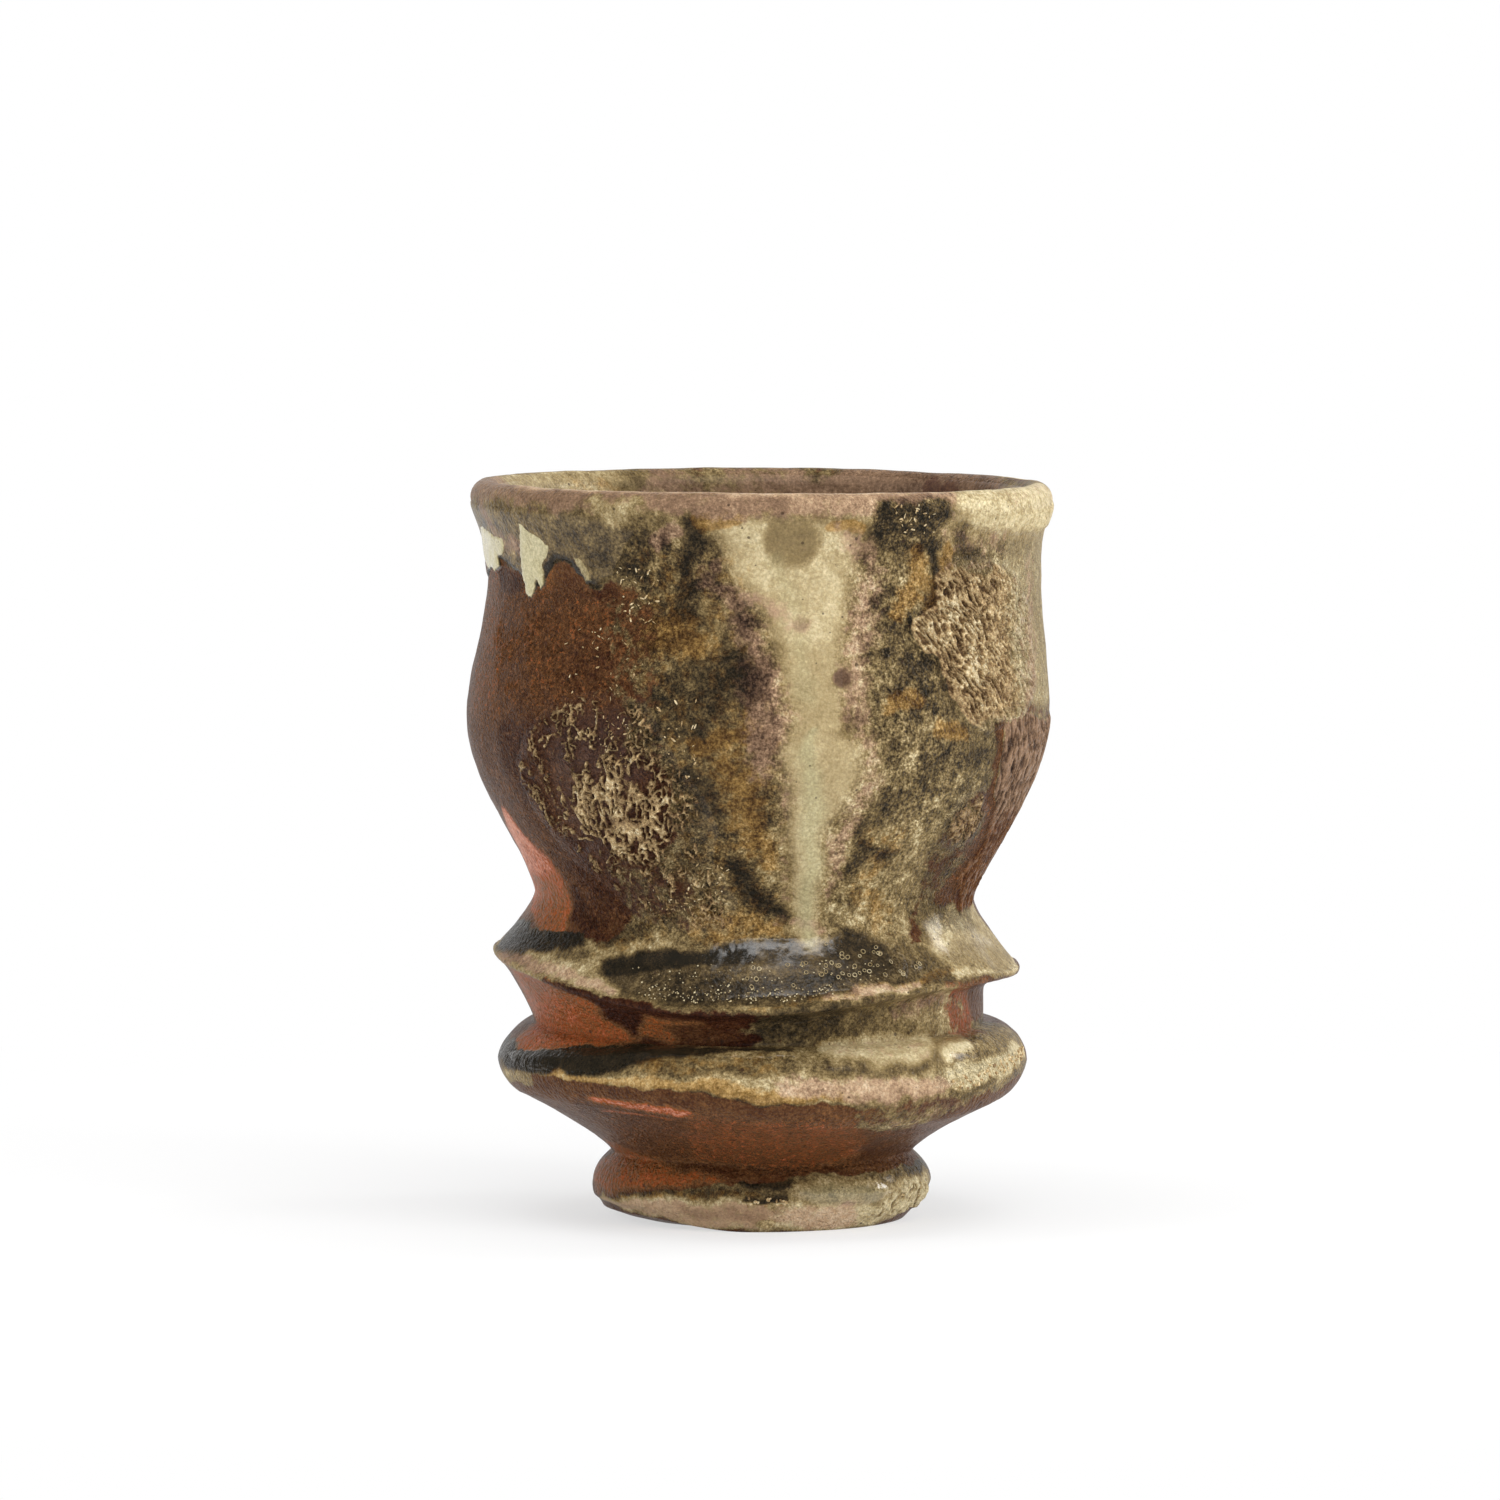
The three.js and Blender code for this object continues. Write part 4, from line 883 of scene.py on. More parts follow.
paint(
    "tone",
    (0.72, 1, 0.9, (85, 84, 90), (105, 90, 70)),
    (0.88, 1, 1, (90, 99.5, 20), (122, 99.7, 13), (155, 100, 3)),
    (0.45, 1, 0.8, (-95, 97, 30), (-140, 97, 34), (-176, 98, 30)),
    (0.55, 1, 0.9, (130, 84, 60), (160, 72, 60), (190, 84, 60)),
    (0.2, 0.9, 0.9, (118, 76, 24), (128, 66, 20), (150, 88, 20)),
    finder=wall,
)
for x, y, width, dark in ((512, 946, 12, True), (522, 968, 12, False), (508, 1052, 12, True),
        (516, 1076, 8, False)):
    u, v = spot(x, y)
    band = [(u + 4, v, width), (u - 6, v, width), (u - 16, v - 0.6, 0.6 * width), (u - 30, v + 0.4, 0.15 * width)]
    paint("ash", (1, 1, 0.6, *band), finder=lambda u, v: (u, v))
    paint("tone", (0.1 if dark else 0.62, 1, 0.6, *band), finder=lambda u, v: (u, v))
paint("pink", (0.8, 1, 0.9, (92, 64, 40), (116, 56, 30)), finder=wall)
paint("mottling", (0.8, 1, 1, (120, 80, 60), (160, 76, 80), (195, 84, 60)), finder=wall)
paint("leather", (0.8, 1, 0.9, (60, 70, 60), (85, 78, 90), (110, 80, 60)), finder=wall)


# %% [markdown]
# The lip's top and the bowl show only as a narrow band behind the near lip. There the glaze is tan and
# cream on the left, grey olive in the middle and red-brown on the right.

# %% The bowl
paint(
    "ash",
    (0.9, 1, 0.9, (-180, 98, 60), (0, 98, 60), (180, 98, 60)),
    (0.62, 1, 0.9, (-180, 80, 130), (0, 80, 130), (180, 80, 130)),
    (0.15, 1, 0.9, (96, 96, 60), (150, 95, 60)),
    finder=bowl_place,
)
paint(
    "tone",
    (0.5, 1, 1, (-180, 70, 300), (180, 70, 300)),
    (0.8, 1, 0.9, (-165, 97, 40), (-130, 98, 40), (-95, 99, 30)),
    (0.6, 1, 0.9, (172, 97, 50), (190, 97, 50)),
    (0.52, 1, 0.9, (96, 97, 50), (165, 97, 50)),
    finder=bowl_place,
)
paint("pink", (0.9, 1, 0.9, (100, 96, 50), (150, 96, 50), (192, 96, 50)), finder=bowl_place)
paint("ochre", (0.5, 1, 0.9, (-150, 98, 20), (-120, 96, 16)), finder=bowl_place)
paint("clay", (0.5, 1, 0.9, (95, 96, 60), (150, 90, 60)), finder=bowl_place)
paint("mauve", (0.9, 1, 0.9, (100, 96, 60), (215, 94, 60)), finder=bowl_place)
for share in (0.38, 0.7):
    paint("ash", (1, 1, 0.6, (-180, share, 24), (180, share, 24)), finder=lip_place)
    paint("tone", (0.52, 1, 0.6, (-180, share, 24), (0, share, 20)),
        (0.58, 1, 0.7, (-20, share, 18), (8, share, 18)), (0.7, 1, 0.7, (12, share, 18), (40, share, 18)),
        finder=lip_place)
    paint("pink", (0.8, 1, 0.7, (-100, share, 20), (38, share, 20)), finder=lip_place)
    paint("mottling", (0.35, 1, 0.7, (-180, share, 24), (180, share, 24)), finder=lip_place)
paint("tone", (0.86, 1, 0.7, (48, 0.38, 24), (84, 0.38, 24)), (0.84, 1, 0.7, (48, 0.6, 10), (84, 0.6, 10)),
    # The thin cream line along the near lip's crest is a painted highlight.
    (0.84, 0.9, 0.6, (-60, 0.5, 5), (40, 0.5, 5)), finder=lip_place)
paint("pink", (0.3, 1, 0.7, (60, 0.38, 24), (84, 0.38, 24)), (1, 1, 0.7, (98, 0.8, 22), (178, 0.8, 22)),
    (0.6, 1, 0.7, (-180, 0.8, 22), (-152, 0.8, 22)), finder=lip_place)
paint("tone", (0.74, 1, 0.8, (-138, 0.75, 18), (-104, 0.75, 18)),
    (0.42, 1, 0.9, (104, 0.8, 20), (146, 0.8, 20)), finder=lip_place)
paint(
    "tone",
    (0.2, 1, 1, (886, 536, 6), (892, 514, 10), (908, 505, 10), (924, 512, 15), (936, 508, 8), (934, 532, 9)),
    (0.26, 0.9, 1, (902, 536, 9), (920, 546, 7)),
    (0.3, 0.9, 0.9, (610, 548, 10), (640, 545, 12)),
)
paint("mottling", (0.95, 1, 1.2, (870, 506), (942, 496), (944, 550), (880, 550)))
paint("pink", (0, 1, 1, (882, 506), (939, 500), (944, 515), (938, 540), (890, 540)))
paint(
    "tone",
    (0.75, 1, 0.9, (592, 503, 6), (612, 512, 10), (630, 505, 7)),
    (0.36, 0.5, 1, (596, 548, 8), (612, 552, 8)),
    (0.7, 0.22, 2.0, (880, 720), (990, 720), (985, 930), (900, 930)),
)
paint("pink", (0.1, 1, 0.9, (590, 502, 8), (612, 513, 12), (632, 504, 9)))
paint("clay", (0.84, 0.8, 1, (-80, 44, 20), (-94, 43, 14), (-114, 45, 4)), finder=wall)


# %% How much of each field lies on a place
def painted(turn, length):
    """Every field's value at a place. The strokes' edges are pushed about a little, and more at the back."""
    here = clay(turn, length)
    true_x, true_y = turn * LEVEL, length
    pushed_x = true_x + 1.6 * (mottle(here, 4.0, 11) - 0.5) + 0.7 * (mottle(here, 1.4, 12) - 0.5)
    pushed_y = true_y + 1.6 * (mottle(here, 4.0, 13) - 0.5) + 0.7 * (mottle(here, 1.4, 14) - 0.5)
    beyond = fade(1.3, 1.75, np.abs(turn))
    pushed_x = pushed_x + beyond * (13 * (mottle(here, 9.0, 15) - 0.5) + 6 * (mottle(here, 3.5, 17) - 0.5))
    pushed_y = pushed_y + beyond * (8 * (mottle(here, 9.0, 16) - 0.5) + 4 * (mottle(here, 3.5, 18) - 0.5))
    fields = {}
    in_bowl = length > bowl_begins
    all_round = 2 * np.pi * LEVEL
    for field, given in strokes.items():
        total = np.full(turn.shape, START[field])
        for value, strength, softness, points, bowl in given:
            spread = max((point[2] for point in points if len(point) > 2), default=softness) * 2 + 2
            xs, ys = [point[0] for point in points], [point[1] for point in points]
            x, y = (true_x, true_y) if len(points) == 1 else (pushed_x, pushed_y)
            for lap in (-all_round, 0, all_round):
                near = (x + lap > min(xs) - spread) & (x + lap < max(xs) + spread)
                near &= (y > min(ys) - spread) & (y < max(ys) + spread) & (in_bowl == bowl)
                if not near.any():
                    continue
                if len(points[0]) > 2:
                    part = line_cover(x[near] + lap, y[near], points, softness)
                else:
                    part = fade(-softness, softness, area_depth(x[near] + lap, y[near], points))
                total[near] = total[near] + (value - total[near]) * strength * part
        fields[field] = total
    return fields


# %% [markdown]
# A mesh is laid out as rows of points along the outline. The clay body is one closed skin of rings
# with a pole at each end. Its columns stand closer together on the front, where the finest marks are.

# %% Meshes from rows of points
def make_object(name, points, faces, material, values):
    mesh = bpy.data.meshes.new(name)
    mesh.from_pydata((points * MM).tolist(), [], faces)
    mesh.shade_smooth()
    mesh.materials.append(material)
    for key, numbers in values.items():
        mesh.attributes.new(key, "FLOAT", "POINT").data.foreach_set("value", numbers.astype(np.float32))
    made = bpy.data.objects.new(name, mesh)
    scene.collection.objects.link(made)
    print(name, len(mesh.polygons), "faces")
    return made


def quads(first, second, closed):
    """Faces between two rows of point numbers."""
    a, b = np.array(first), np.array(second)
    if closed:
        return np.stack([a, np.roll(a, -1), np.roll(b, -1), b], axis=1).tolist()
    return np.stack([a[:-1], a[1:], b[1:], b[:-1]], axis=1).tolist()


def fan(pole, ring, upwards):
    pairs = zip(ring, ring[1:] + ring[:1])
    return [(a, b, pole) if upwards else (pole, b, a) for a, b in pairs]


# %% [markdown]
# All finishes share one node group, "Fired surface". A fractal noise drives it, because on the real
# cup chance decides everything: each of its three channels shifts one field, so the ash breaks up into
# clouds of olive and khaki, its edge turns into speckle, and the clay varies in its own way. A second
# noise does the same for the tints, and a finer one adds crisp flecks.

# %% Helpers for nodes
def add(tree, kind, inputs=None, **settings):
    made = tree.nodes.new(kind)
    for key, value in settings.items():
        setattr(made, key, value)
    for key, value in (inputs or {}).items():
        if isinstance(value, bpy.types.NodeSocket):
            tree.links.new(value, made.inputs[key])
        else:
            made.inputs[key].default_value = value
    return made


def new_group(name, inputs, outputs):
    tree = bpy.data.node_groups.new(name, "ShaderNodeTree")
    for label, (kind, value) in inputs.items():
        tree.interface.new_socket(label, in_out="INPUT", socket_type=kind).default_value = value
    for label, kind in outputs.items():
        tree.interface.new_socket(label, in_out="OUTPUT", socket_type=kind)
    return tree, add(tree, "NodeGroupInput").outputs, add(tree, "NodeGroupOutput").inputs


def mix_color(tree, factor, under, over, blend="MIX"):
    made = add(tree, "ShaderNodeMix", {0: factor, 6: under, 7: over}, data_type="RGBA", blend_type=blend)
    return made.outputs[2]


def mix_value(tree, factor, under, over):
    return add(tree, "ShaderNodeMix", {0: factor, 2: under, 3: over}).outputs[0]


def calculate(tree, operation, first, second=0.0, third=0.0):
    return add(tree, "ShaderNodeMath", {0: first, 1: second, 2: third}, operation=operation).outputs[0]


def carry(tree, value, low, high, first=0.0, last=1.0, way="LINEAR"):
    """A value that goes from low to high, carried over to go from first to last."""
    inputs = {0: value, 1: low, 2: high, 3: first, 4: last}
    return add(tree, "ShaderNodeMapRange", inputs, interpolation_type=way).outputs[0]


def soft_step(tree, value, low, high, first=0.0, last=1.0):
    return carry(tree, value, low, high, first, last, "SMOOTHSTEP")


def noise(tree, place, scale, detail, roughness, distortion=0.0):
    inputs = {"Vector": place, "Scale": scale, "Detail": detail, "Roughness": roughness, "Distortion": distortion}
    return add(tree, "ShaderNodeTexNoise", inputs).outputs


def channels(tree, shade):
    """A colour's three parts, each of them a chance of its own."""
    return add(tree, "ShaderNodeSeparateColor", {0: shade}).outputs


def color(red, green, blue):
    """A colour as a painter reads it, 0 to 255, as the linear values that a shader works with."""
    parts = np.array([red, green, blue]) / 255
    linear = np.where(parts <= 0.04045, parts / 12.92, ((parts + 0.055) / 1.055) ** 2.4)
    return (*linear.tolist(), 1.0)


def millimetres(tree):
    place = add(tree, "ShaderNodeTexCoord").outputs["Object"]
    return add(tree, "ShaderNodeVectorMath", {0: place, "Scale": 1000.0}, operation="SCALE").outputs[0]


def ramp(tree, value, stops):
    """A scale of colours. Each stop is a position and a colour, 0 to 255."""
    made = add(tree, "ShaderNodeValToRGB", {0: value})
    scale = made.color_ramp
    while len(scale.elements) < len(stops):
        scale.elements.new(0.5)
    for element, (position, *shade) in zip(scale.elements, stops):
        element.position = position
        element.color = color(*shade)
    return made.outputs[0]


def painted_field(tree, name):
    return add(tree, "ShaderNodeAttribute", attribute_name=name).outputs["Fac"]


# %% The scales of colour
CLAY_SCALE = ((0.0, 30, 12, 8), (0.2, 58, 28, 15), (0.4, 84, 51, 28), (0.55, 105, 72, 43), (0.66, 126, 81, 46),
    (0.78, 148, 77, 33), (0.88, 168, 88, 52), (1.0, 202, 140, 114))
ASH_SCALE = ((0.0, 30, 26, 18), (0.2, 54, 44, 29), (0.4, 92, 76, 49), (0.6, 136, 116, 77),
    (0.78, 175, 156, 115), (0.92, 212, 197, 158), (1.0, 220, 206, 168))
OCHRE_SCALE = ((0.0, 36, 23, 10), (0.3, 82, 57, 27), (0.6, 140, 109, 60), (0.8, 181, 148, 94), (1.0, 208, 184, 134))
PINK_SCALE = ((0.0, 38, 26, 20), (0.3, 90, 68, 52), (0.6, 144, 115, 90), (0.8, 186, 156, 124), (1.0, 212, 189, 160))
CRUST_SCALE = ((0.0, 50, 34, 20), (0.3, 100, 74, 46), (0.6, 160, 131, 90), (0.85, 202, 174, 126),
    (1.0, 232, 214, 174))

# %% The fired surface group
NUMBER, COLOR = "NodeSocketFloat", "NodeSocketColor"
fired, given, result = new_group("Fired surface", {"Polish": (NUMBER, 0.0)},
    {"Color": COLOR, "Roughness": NUMBER, "Height": NUMBER, "Gloss": NUMBER})
space = millimetres(fired)
chance = channels(fired, noise(fired, space, 0.46, 8.0, 0.72)["Color"])
moved = add(fired, "ShaderNodeVectorMath", {0: space, 1: (31.0, 17.0, 5.0)}, operation="ADD").outputs[0]
second = channels(fired, noise(fired, moved, 0.7, 5.0, 0.66)["Color"])


def shifted(value, draw, amount):
    """A field with chance added, so that it breaks up into clouds and speckle."""
    return calculate(fired, "MULTIPLY_ADD", calculate(fired, "SUBTRACT", draw, 0.5), amount, value)


mottling = painted_field(fired, "mottling")
speckle = noise(fired, moved, 2.2, 4.0, 0.8)["Fac"]
tone = shifted(painted_field(fired, "tone"), chance[0], calculate(fired, "MULTIPLY", mottling, 2.2))
crisp = soft_step(fired, speckle, 0.37, 0.63)
tone = shifted(tone, crisp, calculate(fired, "MULTIPLY_ADD", mottling, 0.44, 0.02))
leather = painted_field(fired, "leather")
folds = noise(fired, space, 1.0, 1.4, 0.6, 1.5)["Fac"]
crease = calculate(fired, "ABSOLUTE", calculate(fired, "SUBTRACT", folds, 0.5))
curl = calculate(fired, "SUBTRACT", 1.0, soft_step(fired, crease, 0.0, 0.045))
# The fine lines lie in the bump's creases and on its curls: darker in the creases and lighter on the curls, partly
# painted shade and highlight.
line = calculate(fired, "MULTIPLY", curl, leather)
tone = calculate(fired, "MULTIPLY_ADD", line, -0.22, tone)
ash_color = ramp(fired, tone, ASH_SCALE)
ochre_part = soft_step(fired, shifted(painted_field(fired, "ochre"), second[0], 1.6), 0.25, 0.75)
ash_color = mix_color(fired, ochre_part, ash_color, ramp(fired, tone, OCHRE_SCALE))
pink_part = soft_step(fired, shifted(painted_field(fired, "pink"), second[1], 1.6), 0.25, 0.75)
ash_color = mix_color(fired, pink_part, ash_color, ramp(fired, tone, PINK_SCALE))

clay_tone = shifted(shifted(painted_field(fired, "clay"), chance[1], 0.5), crisp, 0.24)
# The same painted shade and highlight along the fine lines, on the clay.
clay_tone = calculate(fired, "MULTIPLY_ADD", line, -0.24, clay_tone)
clay_color = ramp(fired, clay_tone, CLAY_SCALE)
# The clay is greyed here: mostly its own greyish colour, and a painted sheen on the left edge and the cone's left.
grey_part = calculate(fired, "MULTIPLY", shifted(painted_field(fired, "mauve"), second[2], 0.6), 0.7)
greyed = mix_color(fired, 1.0, clay_color, color(196, 190, 196), "MULTIPLY")
greyed = mix_color(fired, 0.4, greyed, color(120, 98, 90))
clay_color = mix_color(fired, grey_part, clay_color, greyed)

ash_part = soft_step(fired, shifted(painted_field(fired, "ash"), chance[2], 1.9), 0.34, 0.66)
surface_color = mix_color(fired, ash_part, clay_color, ash_color)
crust_part = soft_step(fired, shifted(painted_field(fired, "crust"), second[1], 0.6), 0.3, 0.7)
crust_tone = shifted(painted_field(fired, "tone"), crisp, 0.36)
surface_color = mix_color(fired, crust_part, surface_color, ramp(fired, crust_tone, CRUST_SCALE))
green_part = calculate(fired, "MULTIPLY", painted_field(fired, "celadon"), 0.85)
green = mix_color(fired, crisp, color(158, 153, 114), color(184, 178, 138))
surface_color = mix_color(fired, green_part, surface_color, green)

# %% Grain, dots and small relief
grain = noise(fired, space, 2.8, 3.0, 0.75)["Fac"]
lighter = carry(fired, grain, 0.25, 0.75, 0.5, 1.46)
lighter = mix_value(fired, calculate(fired, "MULTIPLY_ADD", mottling, 1.0, 0.3), 1.0, lighter)
lighter = add(fired, "ShaderNodeCombineColor", {0: lighter, 1: lighter, 2: lighter}).outputs[0]
surface_color = mix_color(fired, 1.0, surface_color, lighter, "MULTIPLY")
cells = add(fired, "ShaderNodeTexVoronoi", {"Vector": space, "Scale": 1.1, "Randomness": 1.0})
dot_size = channels(fired, cells.outputs["Color"])[0]
wanted = calculate(fired, "MULTIPLY_ADD", painted_field(fired, "dots"), 0.4, 0.08)
dot_size = calculate(fired, "MULTIPLY", soft_step(fired, dot_size, calculate(fired, "SUBTRACT", 1.0, wanted),
    1.0), 0.3)
dot = calculate(fired, "LESS_THAN", cells.outputs["Distance"], dot_size)
surface_color = mix_color(fired, calculate(fired, "MULTIPLY", dot, 0.7), surface_color, color(54, 38, 28))
fired.links.new(surface_color, result["Color"])

fold_height = calculate(fired, "MULTIPLY", calculate(fired, "MULTIPLY", crease, 4.5), leather)
bumps = noise(fired, space, 1.5, 1.5, 0.6)["Fac"]
gloss = painted_field(fired, "gloss")
rough_grain = calculate(fired, "MULTIPLY", bumps, calculate(fired, "MULTIPLY_ADD", gloss, -1.0, 1.5))
height = calculate(fired, "ADD", rough_grain, fold_height)
height = calculate(fired, "SUBTRACT", height, calculate(fired, "MULTIPLY", dot, 0.35))
fired.links.new(height, result["Height"])
fired.links.new(gloss, result["Gloss"])
ash_rough = carry(fired, tone, 0.0, 0.7, 0.3, 0.48)
roughness = mix_value(fired, ash_part, 0.42, ash_rough)
roughness = mix_value(fired, crust_part, roughness, 0.45)
roughness = calculate(fired, "MULTIPLY_ADD", gloss, -0.2, roughness)
roughness = calculate(fired, "SUBTRACT", roughness, given["Polish"])
roughness = calculate(fired, "MULTIPLY_ADD", calculate(fired, "SUBTRACT", grain, 0.5), 0.3, roughness)
fired.links.new(calculate(fired, "MAXIMUM", roughness, 0.07), result["Roughness"])


# %% [markdown]
# Each finish of the record is a material of its own. They differ in how glassy they are and how much
# of the small relief shows through, while the colours come from the shared group.

# %% Materials
def fired_material(name, polish, relief, wet=0.0, specular=0.25):
    material = bpy.data.materials.new(name)
    material.use_nodes = True
    tree = material.node_tree
    shader = tree.nodes["Principled BSDF"]
    made = add(tree, "ShaderNodeGroup", node_tree=fired)
    made.inputs["Polish"].default_value = polish
    bump = add(tree, "ShaderNodeBump", {"Height": made.outputs["Height"], "Strength": 1.0, "Distance": relief * MM})
    tree.links.new(made.outputs["Color"], shader.inputs["Base Color"])
    tree.links.new(made.outputs["Roughness"], shader.inputs["Roughness"])
    tree.links.new(bump.outputs["Normal"], shader.inputs["Normal"])
    shader.inputs["Specular IOR Level"].default_value = specular
    tree.links.new(calculate(tree, "MULTIPLY", made.outputs["Gloss"], wet), shader.inputs["Coat Weight"])
    shader.inputs["Coat Roughness"].default_value = 0.12
    return material


clay_finish = fired_material("fired clay", 0.04, 0.4, 0.5, 0.1)
shoulder_finish = fired_material("shoulder glaze", 0.08, 0.18)
celadon_finish = fired_material("celadon drips", 0.2, 0.05, 0.3, 0.3)
melt_finish = fired_material("melted ash", 0.06, 0.22, 0.2)
crust_finish = fired_material("crusted ash", 0.06, 0.34)
pool_finish = fired_material("pooled glass", 0.1, 0.1, 0.9, 0.25)
liner_finish = fired_material("liner glaze", 0.08, 0.1)
crumb_finish = fired_material("wadding crumb", -0.2, 0.2)

# %% [markdown]
# The clay body goes first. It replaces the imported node, whose flat facets stand for this same shape.

# %% The clay body
FRONT = 100.0  # degrees to each side of the front with the closest columns
columns = np.radians(np.concatenate([np.linspace(-180, -FRONT, 46, endpoint=False),
    np.linspace(-FRONT, FRONT, 252, endpoint=False), np.linspace(FRONT, 180, 46, endpoint=False)]))
ROWS = {"base": 9, "foot_side": 14, "foot_top": 12, "cone": 30, "nose_under": 12, "dome": 18, "undercut": 16,
    "edge": 8, "flange_top": 22, "lower_wall": 48, "upper_wall": 36, "flare": 20, "lip": 14, "inner_flare": 6,
    "inner_upper": 5, "inner_lower": 6, "bowl": 9}
lengths = np.concatenate([reach(name, np.arange(count) / count) for name, count in ROWS.items()])[1:]
grid_u, grid_v = np.meshgrid(columns, lengths)
skin = surface(grid_u, grid_v)
skin[..., 2] = np.maximum(skin[..., 2], 0)
amounts = {key: value.ravel() for key, value in painted(grid_u, grid_v).items()}
rings = [list(range(i * len(columns), (i + 1) * len(columns))) for i in range(len(lengths))]
points = np.vstack([skin.reshape(-1, 3), [[0, 0, 0], [0, 0, BOWL_FLOOR]]])
base_pole, bowl_pole = len(points) - 2, len(points) - 1
faces = fan(base_pole, rings[0], False) + fan(bowl_pole, rings[-1], True)
for below, above in zip(rings, rings[1:]):
    faces += quads(below, above, True)
amounts = {key: np.append(value, [0, 0]) for key, value in amounts.items()}
body = make_object("clay_cup", points, faces, clay_finish, amounts)
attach(body, "root")
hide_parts("stoneware_body")

# %% [markdown]
# A glaze or a crust is a thin shell on the clay. Its front is the clay's own surface lifted by the
# thickness of the glass, and its back lies buried under the clay, so the piece is closed and nothing
# shows below it. Outside its outline the front sinks under the clay too, which gives a drip the round,
# slightly ragged edge that melted glass has.

# %% Shells on the clay
BURIED = 0.5  # mm from the clay's surface to a shell's back
SUNK = 0.22  # mm from the clay's surface to a shell's front outside its outline
MARGIN = 0.7  # mm that a shell's sheet reaches past its outline


def flat_noise(u, v, size, seed):
    return mottle(np.stack([u, v, np.full_like(u, 0.5 * size)], axis=-1), size, seed) - 0.5


def wander(u, v, size, amount, seed):
    """The same places pushed about at random, so that a drawn shape gets a natural edge."""
    return u + amount * flat_noise(u, v, size, seed), v + amount * flat_noise(u, v, size, seed + 1)


def bead(depth, height, width):
    """The rounded edge of a bead of glass, from 0 at its outline to its full height."""
    return height * np.sqrt(1 - (1 - np.clip(depth / width, 0, 1)) ** 2)


def shell(name, node, material, outline, step, thickness, dress=None, raggedness=0.6):
    """A closed sheet of small squares on the clay. dress may change its fields before it gets them."""
    xs, ys = [point[0] for point in outline], [point[1] for point in outline]
    u, v = np.meshgrid(np.arange(min(xs) - MARGIN, max(xs) + MARGIN + step, step),
        np.arange(min(ys) - MARGIN, max(ys) + MARGIN + step, step), indexing="ij")
    ragged_u, ragged_v = wander(u, v, 1.6, raggedness, 21)
    depth = area_depth(*wander(ragged_u, ragged_v, 0.5, 0.7 * raggedness, 23), outline)
    lift = np.where(depth < 0, -SUNK * fade(0, 0.3, -depth), thickness(u, v, depth))
    keep = depth > -0.8 * MARGIN
    cells = keep[:-1, :-1] & keep[1:, :-1] & keep[1:, 1:] & keep[:-1, 1:]
    i, j = np.nonzero(cells)
    flat = np.arange(u.size).reshape(u.shape)
    a, b, c, d = flat[i, j], flat[i + 1, j], flat[i + 1, j + 1], flat[i, j + 1]
    edge = np.pad(cells, 1)
    walls = []
    for start, end, di, dj in ((a, b, 0, -1), (b, c, 1, 0), (c, d, 0, 1), (d, a, -1, 0)):
        open_side = ~edge[i + 1 + di, j + 1 + dj]
        s, e = start[open_side], end[open_side]
        walls.append(np.stack([e, s, s + u.size, e + u.size], axis=1))
    front_faces = np.stack([a, b, c, d], axis=1)
    faces = np.vstack([front_faces, front_faces[:, ::-1] + u.size, *walls])
    used, faces = np.unique(faces, return_inverse=True)
    faces = faces.reshape(-1, 4)
    points = np.vstack([surface(u / LEVEL, v, lift).reshape(-1, 3), surface(u / LEVEL, v, -BURIED).reshape(-1, 3)])
    amounts = painted(u / LEVEL, v)
    if dress:
        dress(amounts, u, v, depth, lift)
    values = {key: np.tile(value.ravel(), 2)[used] for key, value in amounts.items()}
    made = make_object(name, points[used], faces.tolist(), material, values)
    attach(made, "root")
    if node:
        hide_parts(node)


def pull(fields, amount, **wanted):
    """Pulls a piece's fields towards other values."""
    for field, value in wanted.items():
        fields[field] = fields[field] + (value - fields[field]) * amount


# %% [markdown]
# The glaze of the bowl was poured in and out before the firing. It is one thin skin from just inside
# the lip down to the floor, lathed from the inner part of the same outline.

# %% The liner glaze
LINER_COLUMNS = 224
liner_rows = {"lip": (0.72, 1, 6), "inner_flare": (0, 1, 18), "inner_upper": (0, 1, 20),
    "inner_lower": (0, 1, 24), "bowl": (0, 1, 34)}
lengths = [reach(key, np.linspace(a, b, n, endpoint=False)) for key, (a, b, n) in liner_rows.items()]
lengths = np.concatenate(lengths)
turns = np.linspace(-np.pi, np.pi, LINER_COLUMNS, endpoint=False)
grid_u, grid_v = np.meshgrid(turns, lengths)
start = lengths[0]
LINER_LIFT, LINER_SUNK, LINER_BURIED = 0.35, 0.12, 0.4  # mm from the clay to its front, edge and back
lift = LINER_LIFT * fade(start, start + 2.5, grid_v) - LINER_SUNK * (1 - fade(start, start + 0.6, grid_v))
front, back = surface(grid_u, grid_v, lift), surface(grid_u, grid_v, -LINER_BURIED)
poles = [[0, 0, BOWL_FLOOR + LINER_LIFT], [0, 0, BOWL_FLOOR - LINER_BURIED]]
points = np.vstack([front.reshape(-1, 3), back.reshape(-1, 3), poles])
count = len(lengths) * LINER_COLUMNS
rings = [list(range(i * LINER_COLUMNS, (i + 1) * LINER_COLUMNS)) for i in range(len(lengths))]
hidden = [[number + count for number in ring] for ring in rings]
faces = quads(hidden[0], rings[0], True)
for below, above in zip(rings, rings[1:]):
    faces += quads(below, above, True)
for below, above in zip(hidden, hidden[1:]):
    faces += quads(above, below, True)
faces += fan(2 * count, rings[-1], True) + fan(2 * count + 1, hidden[-1], False)
amounts = {key: np.append(np.tile(value.ravel(), 2), [0, 0]) for key, value in painted(grid_u, grid_v).items()}
liner = make_object("bowl_glaze", points, faces, liner_finish, amounts)
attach(liner, "root")
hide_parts("liner_glaze")

